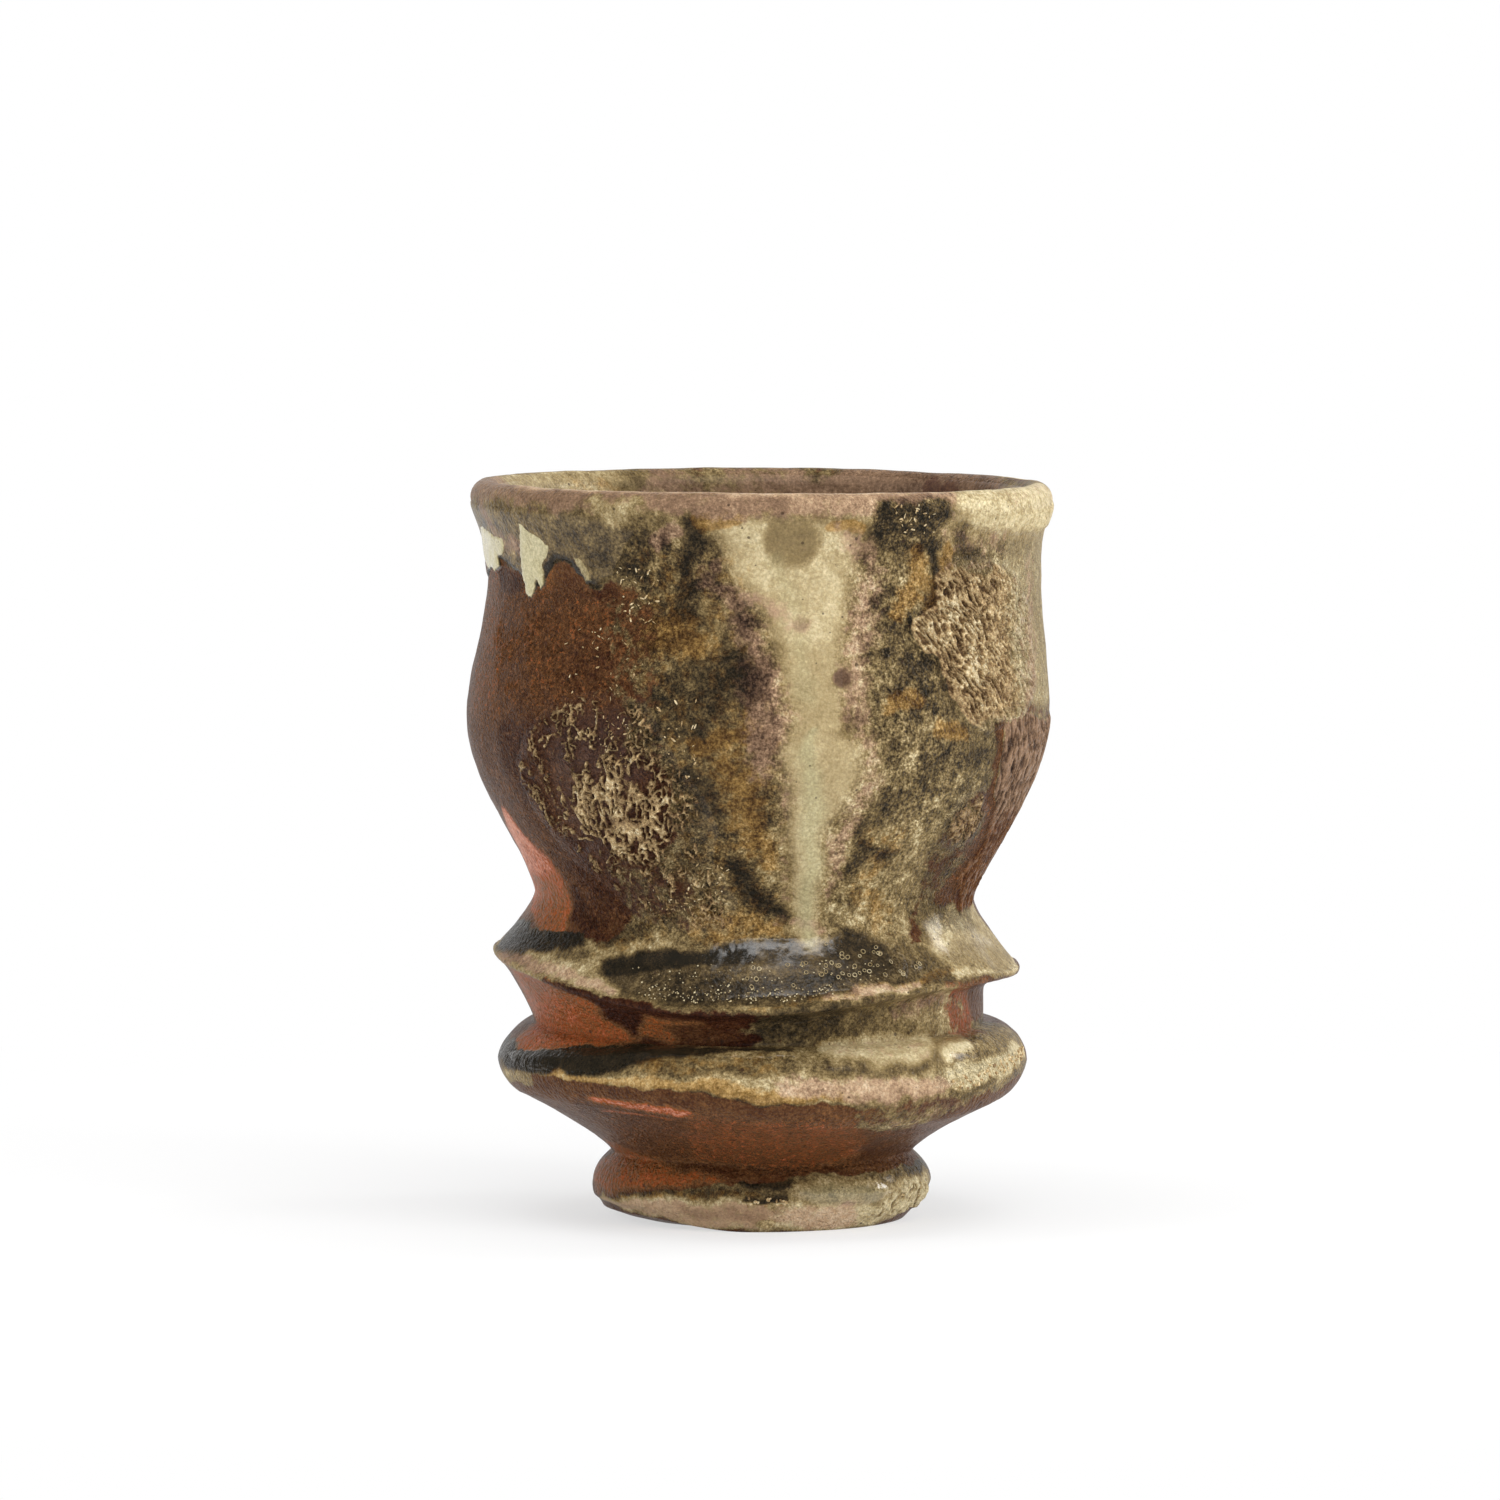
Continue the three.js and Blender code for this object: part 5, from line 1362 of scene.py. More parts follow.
# %% [markdown]
# A dark glaze was poured over the left shoulder. It ends in scallops, and three pale drips run down
# from it, where the ash melted to celadon glass. Each drip is a bead that is thickest at its foot.

# %% The shoulder glaze and its drips
def scallop_height(turn):
    return 92.9 + 0.9 * np.sin(turn * 0.35) + 0.5 * np.sin(turn * 0.13)


scallops = [wall(turn, scallop_height(turn)) for turn in range(-176, -92, 4)]
front_edge = [(486, 575), (500, 558), (510, 564), (520, 575), (532, 592), (546, 578), (556, 559), (567, 561),
    (579, 576), (594, 586), (612, 575), (622, 552), (632, 530)]
band_top = [wall(turn, 99.4) for turn in range(-38, -178, -5)]


def shoulder_dress(amounts, u, v, depth, lift):
    edge = (1 - fade(0.2, 0.8, depth)) * (v < reach("flare", 0.55)) * (1 - fade(-1, 0.5, u - spot(598, 585)[0]))
    edge = edge * fade(np.radians(-165) * LEVEL, np.radians(-110) * LEVEL, u)
    pull(amounts, edge, ash=1.3, tone=0.06, mottling=0.15, pink=0, ochre=0.3)


shell("shoulder_glaze_band", "shoulder_glaze", shoulder_finish,
    scallops + placed(front_edge) + band_top, 0.35, lambda u, v, depth: bead(depth, 0.28, 1.2), shoulder_dress)

drip_left = placed([(514, 514), (522, 521), (533, 529), (540, 535), (552, 547), (552, 553), (548, 560),
    (545, 567), (545, 579), (544, 589), (541, 591), (538, 581), (536, 592), (533, 599), (527, 595), (523, 575),
    (521, 552), (519, 527)])
drip_edge = placed([(479, 524), (491, 531), (504, 538), (507, 552), (500, 556), (501, 567), (496, 571),
    (489, 570), (484, 556), (481, 537)])
drip_middle = placed([(567, 550), (584, 558), (592, 571), (595, 583), (586, 584), (580, 572), (573, 560)])


def celadon(strength, foot):
    def dress(amounts, u, v, depth, lift):
        edge = (1 - fade(0.1, 0.42, depth)) * (1 - fade(2.0, 5.0, v - foot))
        pull(amounts, strength * fade(-0.1, 0.3, depth), ash=1.3, tone=0.94, mottling=0.3, pink=0, ochre=0,
            gloss=0.8, celadon=0.7)
        pull(amounts, edge, tone=0.1, celadon=0)

    return dress


for name, node, outline, height, strength in (("celadon_drip_long", "celadon_drip_left", drip_left, 0.6, 1.0),
        ("celadon_drip_side", "celadon_drip_edge", drip_edge, 0.55, 1.0),
        ("celadon_drip_faint", "celadon_drip_middle", drip_middle, 0.4, 0.4)):
    foot = min(y for x, y in outline)
    shell(name, node, celadon_finish, outline, 0.13,
        lambda u, v, depth: bead(depth, height * (1.1 - 0.05 * (v - foot)), 1.1), celadon(strength, foot))

# %% [markdown]
# Down the middle of the front runs a long V of pale ash that melted into the clay. It has no edge that
# a finger could feel, so it rises over several millimetres.

# %% The ash run down the front
run_outline = placed([(705, 522), (765, 514), (830, 520), (864, 530), (860, 562), (854, 587), (848, 623),
    (845, 655), (842, 695), (838, 712), (845, 738), (862, 748), (867, 762), (861, 778), (853, 812), (832, 819),
    (823, 835), (821, 875), (820, 905), (821, 940), (796, 940), (793, 895), (788, 845), (786, 812), (784, 772),
    (780, 750), (789, 722), (788, 690), (776, 650), (760, 622), (743, 604), (728, 575), (718, 546)])
shell("pale_ash_run", "centre_ash_run", melt_finish, run_outline, 0.3,
    lambda u, v, depth: 0.02 + 0.25 * fade(0, 3.0, depth))

# %% [markdown]
# Where ash fell thick but the kiln didn't get hot enough to melt it, it shrank and crawled into
# crusts. On the left it is a net of thin ridges over dark clay. On the right it covers the clay like
# creased leather. Both are real relief, because they catch the light at the cup's edge. Their tone
# follows the relief as well, paler on the ridges and folds and darker between them, which is partly
# their own colour and partly painted highlight and shade.

# %% Crusts
def squiggles(u, v, size, half_width, seed):
    """Winding ridges, from 0 beside a ridge to 1 on top of it."""
    bent_u, bent_v = wander(u, v, 1.8 * size, 0.9 * size, seed)
    value = flat_noise(bent_u, bent_v, size, seed + 2) + 0.45 * flat_noise(bent_u, bent_v, 0.45 * size, seed + 3)
    return 1 - fade(0.25, 1, np.abs(value) * 1.4 * size / half_width)


CRUST_FOLDS = (1.3, 0.34, 0.62, 41)
SKIN_FOLDS = (1.9, 0.44, 0.12, 55)


def creases(u, v, long, short, lean, seed):
    """Long folds that lie along one direction, from 0 in a crease to 1 on a fold."""
    bent_u, bent_v = wander(u, v, 2.2, 1.2, seed)
    across = (bent_u * np.cos(lean) + bent_v * np.sin(lean)) / short
    down = (bent_v * np.cos(lean) - bent_u * np.sin(lean)) / long
    fold = flat_noise(across, down, 1.0, seed + 2)
    fine = flat_noise(across * 2.1, down * 2.1, 1.0, seed + 3)
    return fade(0.15, 0.85, 1 - np.clip(np.abs(2.2 * fold + 0.9 * fine) * 1.6, 0, 1))


crawl_places = placed([(530, 722), (560, 698), (600, 688), (645, 700), (672, 752), (704, 795), (720, 832),
    (712, 860), (738, 900), (730, 932), (690, 932), (636, 920), (605, 885), (576, 866), (550, 832), (528, 800),
    (516, 760)])
dense_middle = placed([(585, 770), (640, 775), (668, 800), (668, 845), (635, 862), (592, 845), (578, 805)])


def crawl_relief(u, v, depth):
    thick = fade(-1.5, 2.0, area_depth(*wander(u, v, 3, 2.5, 31), dense_middle))
    inside = fade(0, 2.0, depth + 5 * flat_noise(u, v, 4.0, 43))
    width = mix(0.14, 0.32, thick)
    u, v = 1.25 * u, 0.85 * v
    broken = fade(-0.08, 0.12, flat_noise(u, v, 1.3, 33) + mix(-0.04, 0.2, thick))
    second = fade(-0.05, 0.15, flat_noise(u, v, 2.6, 41) + mix(-0.05, 0.3, thick))
    first = squiggles(u, v, 1.4, width, 35) * broken
    return np.maximum(first, squiggles(u, v, 0.9, 0.8 * width, 39) * second) * inside * fade(0, 1, depth)


def crawl_dress(amounts, u, v, depth, lift):
    relief = crawl_relief(u, v, depth)
    amounts["crust"] = np.maximum(amounts["crust"], fade(0.1, 0.45, relief))
    # Tone follows the relief: pale on the ridges and dark between them, partly the crust's own colour and partly
    # painted highlight and shade.
    pull(amounts, fade(0.1, 0.3, relief), tone=0.1 + 0.64 * relief + 0.6 * flat_noise(u, v, 1.2, 44))


shell("crawled_ash_left", "crust_patch_left", crust_finish, crawl_places, 0.14,
    lambda u, v, depth: 0.03 + 0.04 * fade(0, 1, depth) + 0.5 * crawl_relief(u, v, depth), crawl_dress)


right_end = spot(960, 640)[0], spot(1036, 640)[0]
low_end = spot(980, 742)[1], spot(980, 706)[1]
high_end = spot(970, 585)[1], spot(970, 556)[1]


def crust_share(u, v, depth):
    """The crust ends sharply on its left and dies away on its other sides."""
    push = 3 * flat_noise(u, v, 2.5, 44)
    inside = fade(0, 0.5, depth) * (1 - fade(*right_end, u + push)) * fade(*low_end, v + push)
    return inside * (1 - fade(*high_end, v + push))


def leather_lift(u, v, depth):
    fold = creases(u, v, *CRUST_FOLDS)
    ledge = fade(0, 0.3, depth) * (1 - fade(0.5, 1.4, depth)) * (1 - fade(*right_end, u))
    share = mix(0.55, 1, crust_share(u, v, depth)) * fade(0, 1.5, depth)
    return 0.04 * fade(0, 0.5, depth) + (0.1 * fade(0.3, 2, depth) + 0.42 * fold) * share + 0.14 * ledge


def leather_dress(amounts, u, v, depth, lift):
    fold = creases(u, v, *CRUST_FOLDS)
    share = crust_share(u, v, depth)
    # Tone follows the folds: paler on them and darker in the creases, partly own colour and partly painted
    # highlight and shade.
    pull(amounts, share, crust=1.2, ash=1.3, tone=0.25 + 0.58 * fold + 0.5 * flat_noise(u, v, 1.8, 48),
        mottling=0.4, ochre=0.3)
    pull(amounts, 0.7 * fade(0, 1.5, depth) * (1 - share), tone=0.66 + 0.22 * fold, mottling=0.3, pink=0.7)


gold_outline = placed([(934, 572), (945, 556), (985, 556), (1015, 570), (1032, 610), (1036, 690), (1020, 722),
    (985, 735), (968, 725), (950, 700), (940, 672), (938, 657), (922, 653), (911, 634), (909, 617), (934, 604)])
shell("leathery_ash_right", "crust_patch_right", crust_finish, gold_outline, 0.14, leather_lift,
    leather_dress)
lower_gold_outline = placed([(985, 786), (988, 812), (972, 840), (950, 853), (938, 846), (944, 822), (960, 796)])


def lower_relief(u, v, depth):
    inside = fade(0, 2.5, depth + 3 * flat_noise(u, v, 2.0, 47))
    ridges = np.maximum(squiggles(u, v, 1.2, 0.2, 49), 0.8 * creases(u, v, 1.4, 0.36, 0.5, 45))
    return ridges * inside * fade(0, 1, depth)


def lower_dress(amounts, u, v, depth, lift):
    relief = lower_relief(u, v, depth)
    amounts["crust"] = np.maximum(amounts["crust"], fade(0.25, 0.6, relief))
    # Tone follows the relief: paler on the ridges and darker between them, partly own colour and partly painted
    # highlight and shade.
    pull(amounts, fade(0.1, 0.3, relief), tone=0.14 + 0.5 * relief)


shell("crawled_ash_right", "crust_patch_lower_right", crust_finish, lower_gold_outline, 0.17,
    lambda u, v, depth: 0.03 + 0.32 * lower_relief(u, v, depth), lower_dress)

# %% [markdown]
# The bare clay has a skin of its own. Below the right crust it is cracked like old leather, its folds
# painted paler and its creases darker, partly as painted highlight and shade. On the left belly it is
# covered with curls so fine that they show mostly where they catch the light, and where they stand up
# they are painted a lighter clay, as a painted highlight.

# %% The clay's skin
cracked_low, cracked_high = spot(1010, 830)[1], spot(1010, 770)[1]


def cracked_share(u, v, depth):
    """The cracked skin starts sharply beside the crust and dies away round the side."""
    return 1 - fade(1.35 * LEVEL, 1.8 * LEVEL, u + 16 * flat_noise(u, v, 5, 56))


def cracked_lift(u, v, depth):
    return 0.03 + 0.3 * creases(u, v, *SKIN_FOLDS) * fade(0, 1.2, depth) * cracked_share(u, v, depth)


def cracked_dress(amounts, u, v, depth, lift):
    fold = creases(u, v, *SKIN_FOLDS)
    upper = fade(cracked_low, cracked_high, v)
    # Paler on the folds and darker in the creases: partly own colour, partly painted highlight and shade.
    pull(amounts, fade(0, 0.8, depth) * cracked_share(u, v, depth), ash=0.3 + upper, tone=0.12 + 0.42 * fold,
        pink=0.9, clay=0.28 + 0.26 * fold, mottling=0.3, leather=0)


def curled_lift(u, v, depth):
    sparse = fade(-0.25, 0.15, flat_noise(u, v, 2.4, 57))
    return 0.02 + 0.15 * squiggles(u, v, 0.85, 0.15, 59) * sparse * fade(0, 3, depth)


def curled_dress(amounts, u, v, depth, lift):
    # A painted highlight: the clay is made lighter where the curls stand up.
    amounts["clay"] = amounts["clay"] + 0.13 * fade(0.04, 0.14, lift) * fade(0, 3, depth) - 0.02 * fade(0, 3, depth)


cracked_places = placed([(1000, 716), (1024, 708)])
cracked_places += [wall(turn, height) for turn,
    height in ((78, 70), (92, 71), (104, 68), (112, 61), (103, 54), (92, 50), (80, 46))]
cracked_places += placed([(976, 905), (960, 915), (956, 880), (984, 840), (994, 790)])
curled_places = placed([(500, 596), (560, 606), (620, 590), (655, 600), (650, 660), (640, 712), (590, 722),
    (520, 714), (494, 700), (490, 640)])
shell("cracked_clay_skin", None, clay_finish, cracked_places, 0.17, cracked_lift, cracked_dress)
shell("curled_clay_skin", None, clay_finish, curled_places, 0.14, curled_lift, curled_dress)

# %% [markdown]
# Under the lip on the right the ash lies in a cream band. The potter's fingers pulled it into upright
# ridges about a millimetre apart while it was still a wet slip.

# %% The rim's ash band
rim_outline = [wall(turn, height) for turn, height in ((41, 101.4), (55, 101.6), (75, 101.4), (92, 101.2),
    (100, 98.5), (92, 96.0), (75, 95.4), (60, 96.0), (48, 97.0), (43, 98.4), (39, 100.0))]


def comb(u, v, depth):
    row = np.sin(2 * np.pi * (u + 0.5 * flat_noise(u, v, 3.0, 51)) / 0.95)
    return 0.2 + 0.16 * row * fade(0, 1, depth) + 0.1 * flat_noise(u, v, 0.9, 52)


def rim_dress(amounts, u, v, depth, lift):
    pull(amounts, fade(0, 1.6, depth), ash=1.3, tone=0.86, mottling=0.25, ochre=0.1)


shell("combed_rim_ash", "rim_ash_band", crust_finish, rim_outline, 0.2,
    lambda u, v, depth: comb(u, v, depth) * fade(0, 1.2, depth), rim_dress, 1.2)


# %% [markdown]
# The two flanges caught the running glass. It stands in dark pools on them, thick enough to show a
# rounded surface, and it foamed a little at the upper flange's lip.

# %% Pools of glass
def pool(name, node, outline, height, width, seed, wet):
    def thickness(u, v, depth):
        wave = 1 + 0.3 * flat_noise(u, v, 7, seed) + 0.2 * flat_noise(u, v, 2.5, seed + 1)
        return height * fade(-0.1 * width, width, depth) * wave

    def dress(amounts, u, v, depth, lift):
        pull(amounts, fade(0, 0.9, depth), gloss=wet(u, v), ash=1.4)

    shell(name, node, pool_finish, outline, 0.25, thickness, dress)


upper_pool = placed([(604, 962), (640, 953), (700, 945), (740, 939), (830, 935), (880, 940), (905, 955),
    (925, 966), (900, 982), (850, 990), (760, 999), (690, 1000), (630, 992), (608, 980)])
lower_pool = placed([(508, 1052), (540, 1048), (580, 1047), (640, 1046), (700, 1045), (790, 1048), (800, 1056),
    (740, 1058), (660, 1058), (620, 1064), (590, 1072), (540, 1071), (515, 1064)])
foot_glass = placed([(786, 1186), (800, 1181), (840, 1179), (880, 1181), (892, 1188), (884, 1200), (860, 1207),
    (820, 1207), (798, 1200)])
inner_shelf, outer_shelf = spot(780, 960)[1], spot(780, 972)[1]
shelf_left = spot(640, 1055)[0]
pool("upper_flange_glass", "upper_flange_pool", upper_pool, 0.3, 3.6, 61,
    lambda u, v: mix(0.04, 1, fade(outer_shelf, inner_shelf, v)))
pool("lower_flange_glass", "lower_flange_pool", lower_pool, 0.35, 2.4, 63,
    lambda u, v: fade(shelf_left - 3, shelf_left + 3, u))
pool("foot_glass", "foot_pool", foot_glass, 0.4, 2.4, 65, lambda u, v: np.full_like(u, 0.8))

# %% [markdown]
# The foot's right edge carries a ragged line of half-melted ash, and one crumb of the clay wadding
# that the cup stood on in the kiln still sticks to its front.

# %% The foot's ash and the wadding crumb
foot_places = ((42, "foot_side", 0.3), (60, "foot_side", 0.25), (80, "foot_side", 0.3), (82, "foot_side", 0.9),
    (62, "foot_top", 0.3), (44, "foot_side", 0.98))
foot_edge = [along_stretch(part)(turn, share) for turn, part, share in foot_places]


def foot_lift(u, v, depth):
    rough = 0.28 + 0.9 * flat_noise(u, v, 0.9, 71) + 0.5 * flat_noise(u, v, 0.4, 72)
    return rough * fade(0, 0.7, depth)


def foot_dress(amounts, u, v, depth, lift):
    pull(amounts, fade(0, 1, depth), ash=1.3, tone=0.5 + 0.42 * fade(0.0, 0.35, lift), mottling=0.3)


shell("foot_edge_ash", "foot_ash_edge", crust_finish, foot_edge, 0.17, foot_lift, foot_dress,
    1.2)


def lump(name, node, material, middle, size, seed, amounts):
    """A rough crumb: a ball pushed in and out at random."""
    made = bmesh.new()
    bmesh.ops.create_icosphere(made, subdivisions=4, radius=1)
    ball = np.array([vertex.co[:] for vertex in made.verts])
    faces = [[vertex.index for vertex in face.verts] for face in made.faces]
    made.free()
    push = 0.75 + 0.5 * mottle(ball + 5, 0.8, seed) + 0.2 * mottle(ball + 5, 0.35, seed + 1)
    points = ball * push[:, None] * size + middle
    piece = make_object(name, points, faces, material,
        {key: np.full(len(points), amounts.get(key, 0.0)) for key in START})
    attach(piece, "root")
    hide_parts(node)


crumb_place = surface(np.array([np.radians(1.0)]), np.array([reach("foot_side", 0.25)]), 0.25)[0]
lump("wadding_crumb", "wad_crumb", crumb_finish, crumb_place, np.array([1.25, 0.6, 0.75]), 81,
    {"ash": 1.3, "tone": 0.6, "mottling": 0.6})

# %% [markdown]
# What repeats by the dozen is scattered with Geometry Nodes: froth on the glass, rings left by burst
# bubbles, and crumbs and flecks of ash that never melted. The froth and the white flecks are pale partly
# for their own colour and partly as painted glints. A guide holds one point for each of them, and the
# node tree puts a small closed shape on every point, with a size drawn at random from a fixed seed.

# %% The node tree that scatters
def scatter_tree(name, ring):
    tree = bpy.data.node_groups.new(name, "GeometryNodeTree")
    for label, kind in (("Geometry", "NodeSocketGeometry"), ("Smallest", "NodeSocketVector"),
            ("Largest", "NodeSocketVector"), ("Seed", "NodeSocketInt"), ("Finish", "NodeSocketMaterial")):
        tree.interface.new_socket(label, in_out="INPUT", socket_type=kind)
    tree.interface.new_socket("Geometry", in_out="OUTPUT", socket_type="NodeSocketGeometry")
    given = add(tree, "NodeGroupInput").outputs
    if ring:
        circle = add(tree, "GeometryNodeCurvePrimitiveCircle", {"Resolution": 10, "Radius": 1.0}).outputs["Curve"]
        wire = add(tree, "GeometryNodeCurvePrimitiveCircle", {"Resolution": 5, "Radius": 0.2}).outputs["Curve"]
        shape = add(tree, "GeometryNodeCurveToMesh", {"Curve": circle, "Profile Curve": wire}).outputs[0]
    else:
        shape = add(tree, "GeometryNodeMeshIcoSphere", {"Radius": 1.0, "Subdivisions": 2}).outputs["Mesh"]
    facing = add(tree, "GeometryNodeInputNamedAttribute", {"Name": "facing"},
        data_type="FLOAT_VECTOR").outputs["Attribute"]
    upright = add(tree, "FunctionNodeAlignRotationToVector", {"Vector": facing}, axis="Z").outputs[0]
    swing = add(tree, "FunctionNodeRandomValue", {2: 0.0, 3: 6.28, "Seed": given["Seed"]},
        data_type="FLOAT").outputs[1]
    swing = add(tree, "FunctionNodeAxisAngleToRotation", {"Axis": (0.0, 0.0, 1.0), "Angle": swing}).outputs[0]
    upright = add(tree, "FunctionNodeRotateRotation", {"Rotation": upright, "Rotate By": swing},
        rotation_space="LOCAL").outputs[0]
    size = add(tree, "FunctionNodeRandomValue",
        {0: given["Smallest"], 1: given["Largest"], "Seed": given["Seed"]}, data_type="FLOAT_VECTOR")
    copies = add(tree, "GeometryNodeInstanceOnPoints",
        {"Points": given["Geometry"], "Instance": shape, "Rotation": upright, "Scale": size.outputs[0]})
    whole = add(tree, "GeometryNodeRealizeInstances", {"Geometry": copies.outputs[0]}).outputs[0]
    whole = add(tree, "GeometryNodeSetShadeSmooth", {"Geometry": whole}).outputs[0]
    whole = add(tree, "GeometryNodeSetMaterial", {"Geometry": whole, "Material": given["Finish"]}).outputs[0]
    tree.links.new(whole, add(tree, "NodeGroupOutput").inputs[0])
    return tree


bead_tree = scatter_tree("Scatter beads", False)
ring_tree = scatter_tree("Scatter rings", True)


# %% Scattering over parts of the cup
TRIES = 12  # draws for each point that is wanted, because many fall outside the outline


def scatter(name, slot, finish, tree, areas, smallest, largest, seed, lift=0.0, **wanted):
    """areas are pairs of an outline on the page and a count."""
    chance = np.random.default_rng(seed)
    places = []
    for outline, count in areas:
        outline = placed(outline)
        us, vs = [point[0] for point in outline], [point[1] for point in outline]
        u, v = chance.uniform(min(us), max(us), count * TRIES), chance.uniform(min(vs), max(vs), count * TRIES)
        inside = area_depth(u, v, outline) > 0
        places.append(np.stack([u[inside], v[inside]], axis=1)[:count])
    places = np.vstack(places)
    turn, length = places[:, 0] / LEVEL, places[:, 1]
    points = surface(turn, length, np.full(len(turn), lift))
    mesh = bpy.data.meshes.new(name)
    mesh.from_pydata((points * MM).tolist(), [], [])
    mesh.attributes.new("facing", "FLOAT_VECTOR", "POINT").data.foreach_set("vector",
        normals(turn, length).astype(np.float32).ravel())
    for field in START:
        low, high = wanted.get(field, (START[field], START[field]))
        mesh.attributes.new(field, "FLOAT", "POINT").data.foreach_set("value",
            chance.uniform(low, high, len(points)).astype(np.float32))
    guide = bpy.data.objects.new(name + "_guide", mesh)
    scene.collection.objects.link(guide)
    modifier = guide.modifiers.new("scatter", "NODES")
    modifier.node_group = tree
    sockets = {item.name: item.identifier for item in tree.interface.items_tree if item.in_out == "INPUT"}
    modifier[sockets["Smallest"]] = [value * MM for value in smallest]
    modifier[sockets["Largest"]] = [value * MM for value in largest]
    modifier[sockets["Seed"]] = seed
    modifier[sockets["Finish"]] = finish
    evaluated = guide.evaluated_get(bpy.context.evaluated_depsgraph_get())
    result = bpy.data.meshes.new_from_object(evaluated)
    guide.modifiers.remove(modifier)
    bpy.data.objects.remove(guide)
    piece = bpy.data.objects.new(name, result)
    scene.collection.objects.link(piece)
    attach(piece, "root")
    print(name, len(points), "copies,", len(result.polygons), "faces")


# Pale froth on the glass, partly its own colour and partly painted glints.
scatter("froth_and_glint_beads", "pooled_glass", pool_finish, bead_tree,
    [([(640, 984), (700, 988), (780, 990), (835, 985), (835, 998), (760, 1004), (690, 1004), (640, 998)], 150),
    ([(630, 966), (740, 962), (880, 956), (900, 975), (850, 986), (760, 992), (640, 990)], 80)],
    (0.05, 0.05, 0.04), (0.15, 0.14, 0.12), 91, 0.3, ash=(1.3, 1.3), tone=(0.7, 1.0), mottling=(0.1, 0.1),
    gloss=(1.0, 1.0))
scatter("bubble_rings", "pooled_glass", pool_finish, ring_tree,
    [([(822, 944), (882, 944), (892, 966), (852, 984), (822, 978)], 26),
    ([(740, 968), (820, 962), (820, 984), (750, 990)], 12),
    ([(890, 960), (925, 964), (905, 978), (880, 980)], 8)], (0.2, 0.2, 0.25), (0.34, 0.34, 0.4), 92, 0.36,
    ash=(1.3, 1.3), tone=(0.66, 0.9), mottling=(0.1, 0.1), gloss=(0.8, 0.8))
# White flecks of unmelted ash, partly their own colour and partly painted glints.
scatter("white_ash_flecks_and_glints", "crusted_ash", crust_finish, bead_tree,
    [([(594, 716), (623, 716), (640, 748), (625, 778), (602, 764)], 46),
    ([(613, 567), (657, 567), (657, 624), (625, 620)], 34),
    ([(560, 610), (640, 630), (640, 710), (570, 700)], 30),
    ([(893, 504), (932, 500), (936, 534), (900, 532)], 26),
    ([(640, 862), (728, 862), (728, 925), (650, 920)], 60),
    ([(655, 700), (700, 700), (700, 780), (660, 780)], 24)], (0.04, 0.1, 0.04), (0.14, 0.42, 0.12), 93, 0.04,
    ash=(1.3, 1.3), tone=(0.7, 1.0), crust=(1.2, 1.2), mottling=(0.1, 0.2))
scatter("ash_crumbs", "crusted_ash", crust_finish, bead_tree,
    [([(946, 1082), (985, 1068), (1012, 1052), (1024, 1044), (1024, 1056), (1000, 1076), (955, 1092)], 90),
    ([(878, 1206), (900, 1196), (918, 1180), (924, 1190), (908, 1206), (886, 1216)], 46),
    ([(742, 1199), (786, 1198), (786, 1207), (745, 1207)], 16)], (0.12, 0.14, 0.1), (0.34, 0.3, 0.24), 94, 0.0,
    ash=(1.3, 1.3), tone=(0.5, 0.95), crust=(1.2, 1.2), mottling=(0.3, 0.5))

# %% [markdown]
# The cup stands on a plain white floor. Close to it the floor is an ordinary matt white that takes the
# cup's shadow, and further out it fades into a plain white that the camera sees without any shade.

# %% A plain pale floor
def pale_floor():
    material = bpy.data.materials.new("pale floor")
    material.use_nodes = True
    tree = material.node_tree
    matt = tree.nodes["Principled BSDF"]
    matt.inputs["Base Color"].default_value = (0.93, 0.93, 0.93, 1)
    matt.inputs["Roughness"].default_value = 0.7
    plain = add(tree, "ShaderNodeEmission", {"Color": (1, 1, 1, 1), "Strength": 1.0})
    place = add(tree, "ShaderNodeTexCoord").outputs["Object"]
    far = add(tree, "ShaderNodeVectorMath", {0: place}, operation="LENGTH").outputs["Value"]
    away = soft_step(tree, far, 0.06, 0.25, 0.6, 1.0)
    path = add(tree, "ShaderNodeLightPath")
    seen = calculate(tree, "MAXIMUM", path.outputs["Is Camera Ray"], path.outputs["Is Glossy Ray"])
    seen = calculate(tree, "MAXIMUM", seen, path.outputs["Is Transmission Ray"])
    both = add(tree, "ShaderNodeMixShader", {0: calculate(tree, "MULTIPLY", away, seen)})
    tree.links.new(matt.outputs[0], both.inputs[1])
    tree.links.new(plain.outputs[0], both.inputs[2])
    tree.links.new(both.outputs[0], tree.nodes["Material Output"].inputs["Surface"])
    return material


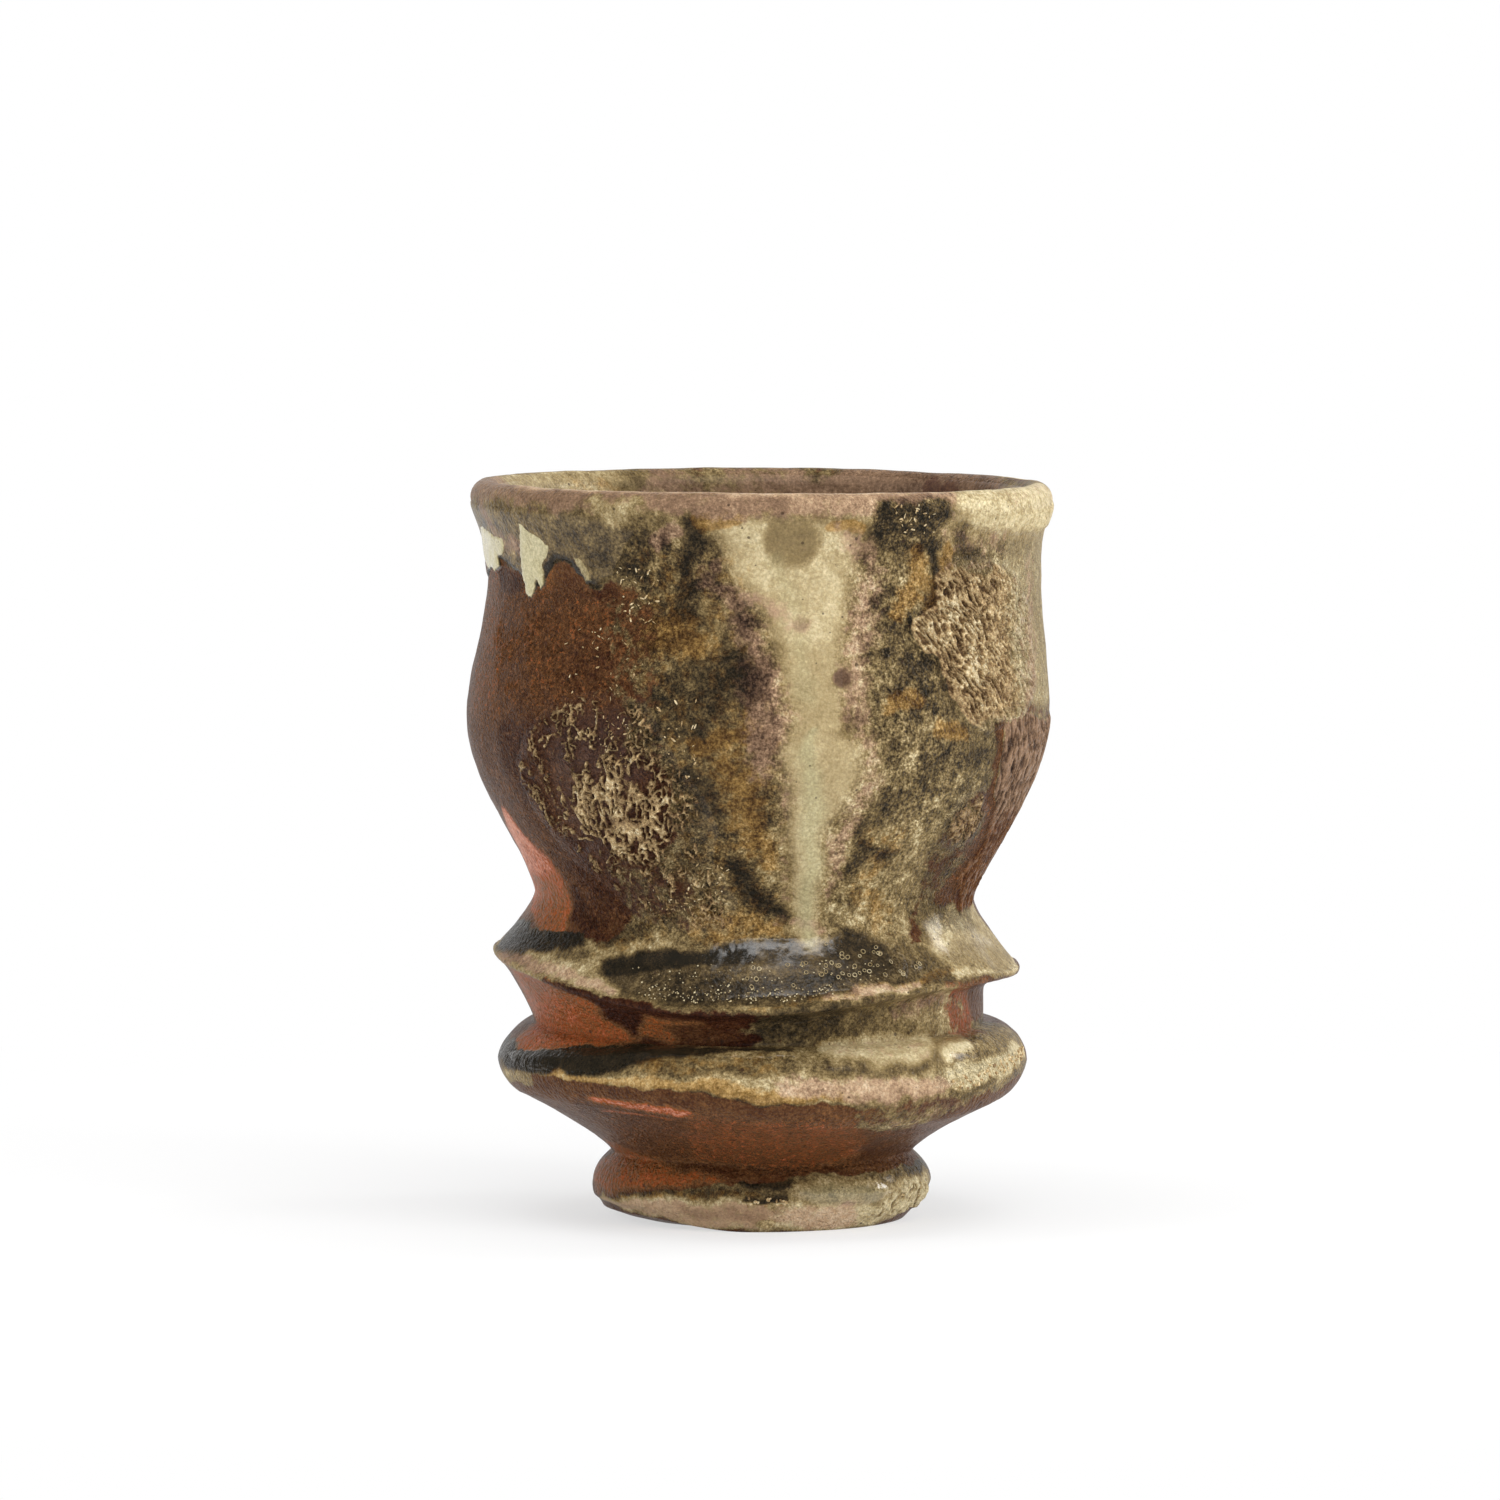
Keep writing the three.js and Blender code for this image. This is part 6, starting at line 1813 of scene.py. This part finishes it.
HALF = 3.0  # metres from the middle of the floor to its edge
corners = [(-HALF, -HALF, 0), (HALF, -HALF, 0), (HALF, HALF, 0), (-HALF, HALF, 0)]
floor_mesh = bpy.data.meshes.new("floor")
floor_mesh.from_pydata(corners, [], [(0, 1, 2, 3)])
floor_mesh.materials.append(pale_floor())
floor = bpy.data.objects.new("floor", floor_mesh)
scene.collection.objects.link(floor)


# %% [markdown]
# The photograph was lit by large soft lamps in a white room. Softboxes above, to the left and to the
# right give the light, and are kept out of the glaze's reflections. A window behind on the right and
# one high over the camera give the bright edges on the lip and the pools.

# %% Soft light
CUP_MIDDLE = (0, 0, 0.05)


def lamp(name, place, size, power):
    light = bpy.data.lights.new(name, "AREA")
    light.shape = "RECTANGLE"
    light.size, light.size_y = size
    light.energy = power
    made = bpy.data.objects.new(name, light)
    made.location = place
    made.rotation_euler = (Vector(CUP_MIDDLE) - Vector(place)).to_track_quat("-Z", "Y").to_euler()
    scene.collection.objects.link(made)
    return made


lamp("top softbox", (0.0, -0.1, 0.9), (0.9, 0.6), 3.5).visible_glossy = False
lamp("left softbox", (-0.9, -0.3, 0.35), (0.4, 0.8), 3.0).visible_glossy = False
lamp("right softbox", (0.8, -0.55, 0.35), (0.3, 0.7), 4.6).visible_glossy = False
lamp("right window", (0.9, 0.35, 0.5), (0.25, 0.4), 2.5)
lamp("high window", (0.24, -0.78, 0.98), (0.9, 0.28), 3.4)


# %% The white room
def white_room():
    world = bpy.data.worlds.new("white room")
    world.use_nodes = True
    scene.world = world
    tree = world.node_tree
    background = tree.nodes["Background"]
    background.inputs["Color"].default_value = (1, 1, 1, 1)
    path = add(tree, "ShaderNodeLightPath")
    direction = add(tree, "ShaderNodeSeparateXYZ", {0: add(tree, "ShaderNodeTexCoord").outputs["Generated"]})
    behind = soft_step(tree, direction.outputs["Y"], 0.6, 0.92)
    mirrored = mix_value(tree, behind, 0.12, 1.1)
    strength = mix_value(tree, path.outputs["Is Glossy Ray"], 0.5, mirrored)
    seen = calculate(tree, "MAXIMUM", path.outputs["Is Camera Ray"], path.outputs["Is Transmission Ray"])
    tree.links.new(mix_value(tree, seen, strength, 1.0), background.inputs["Strength"])


white_room()
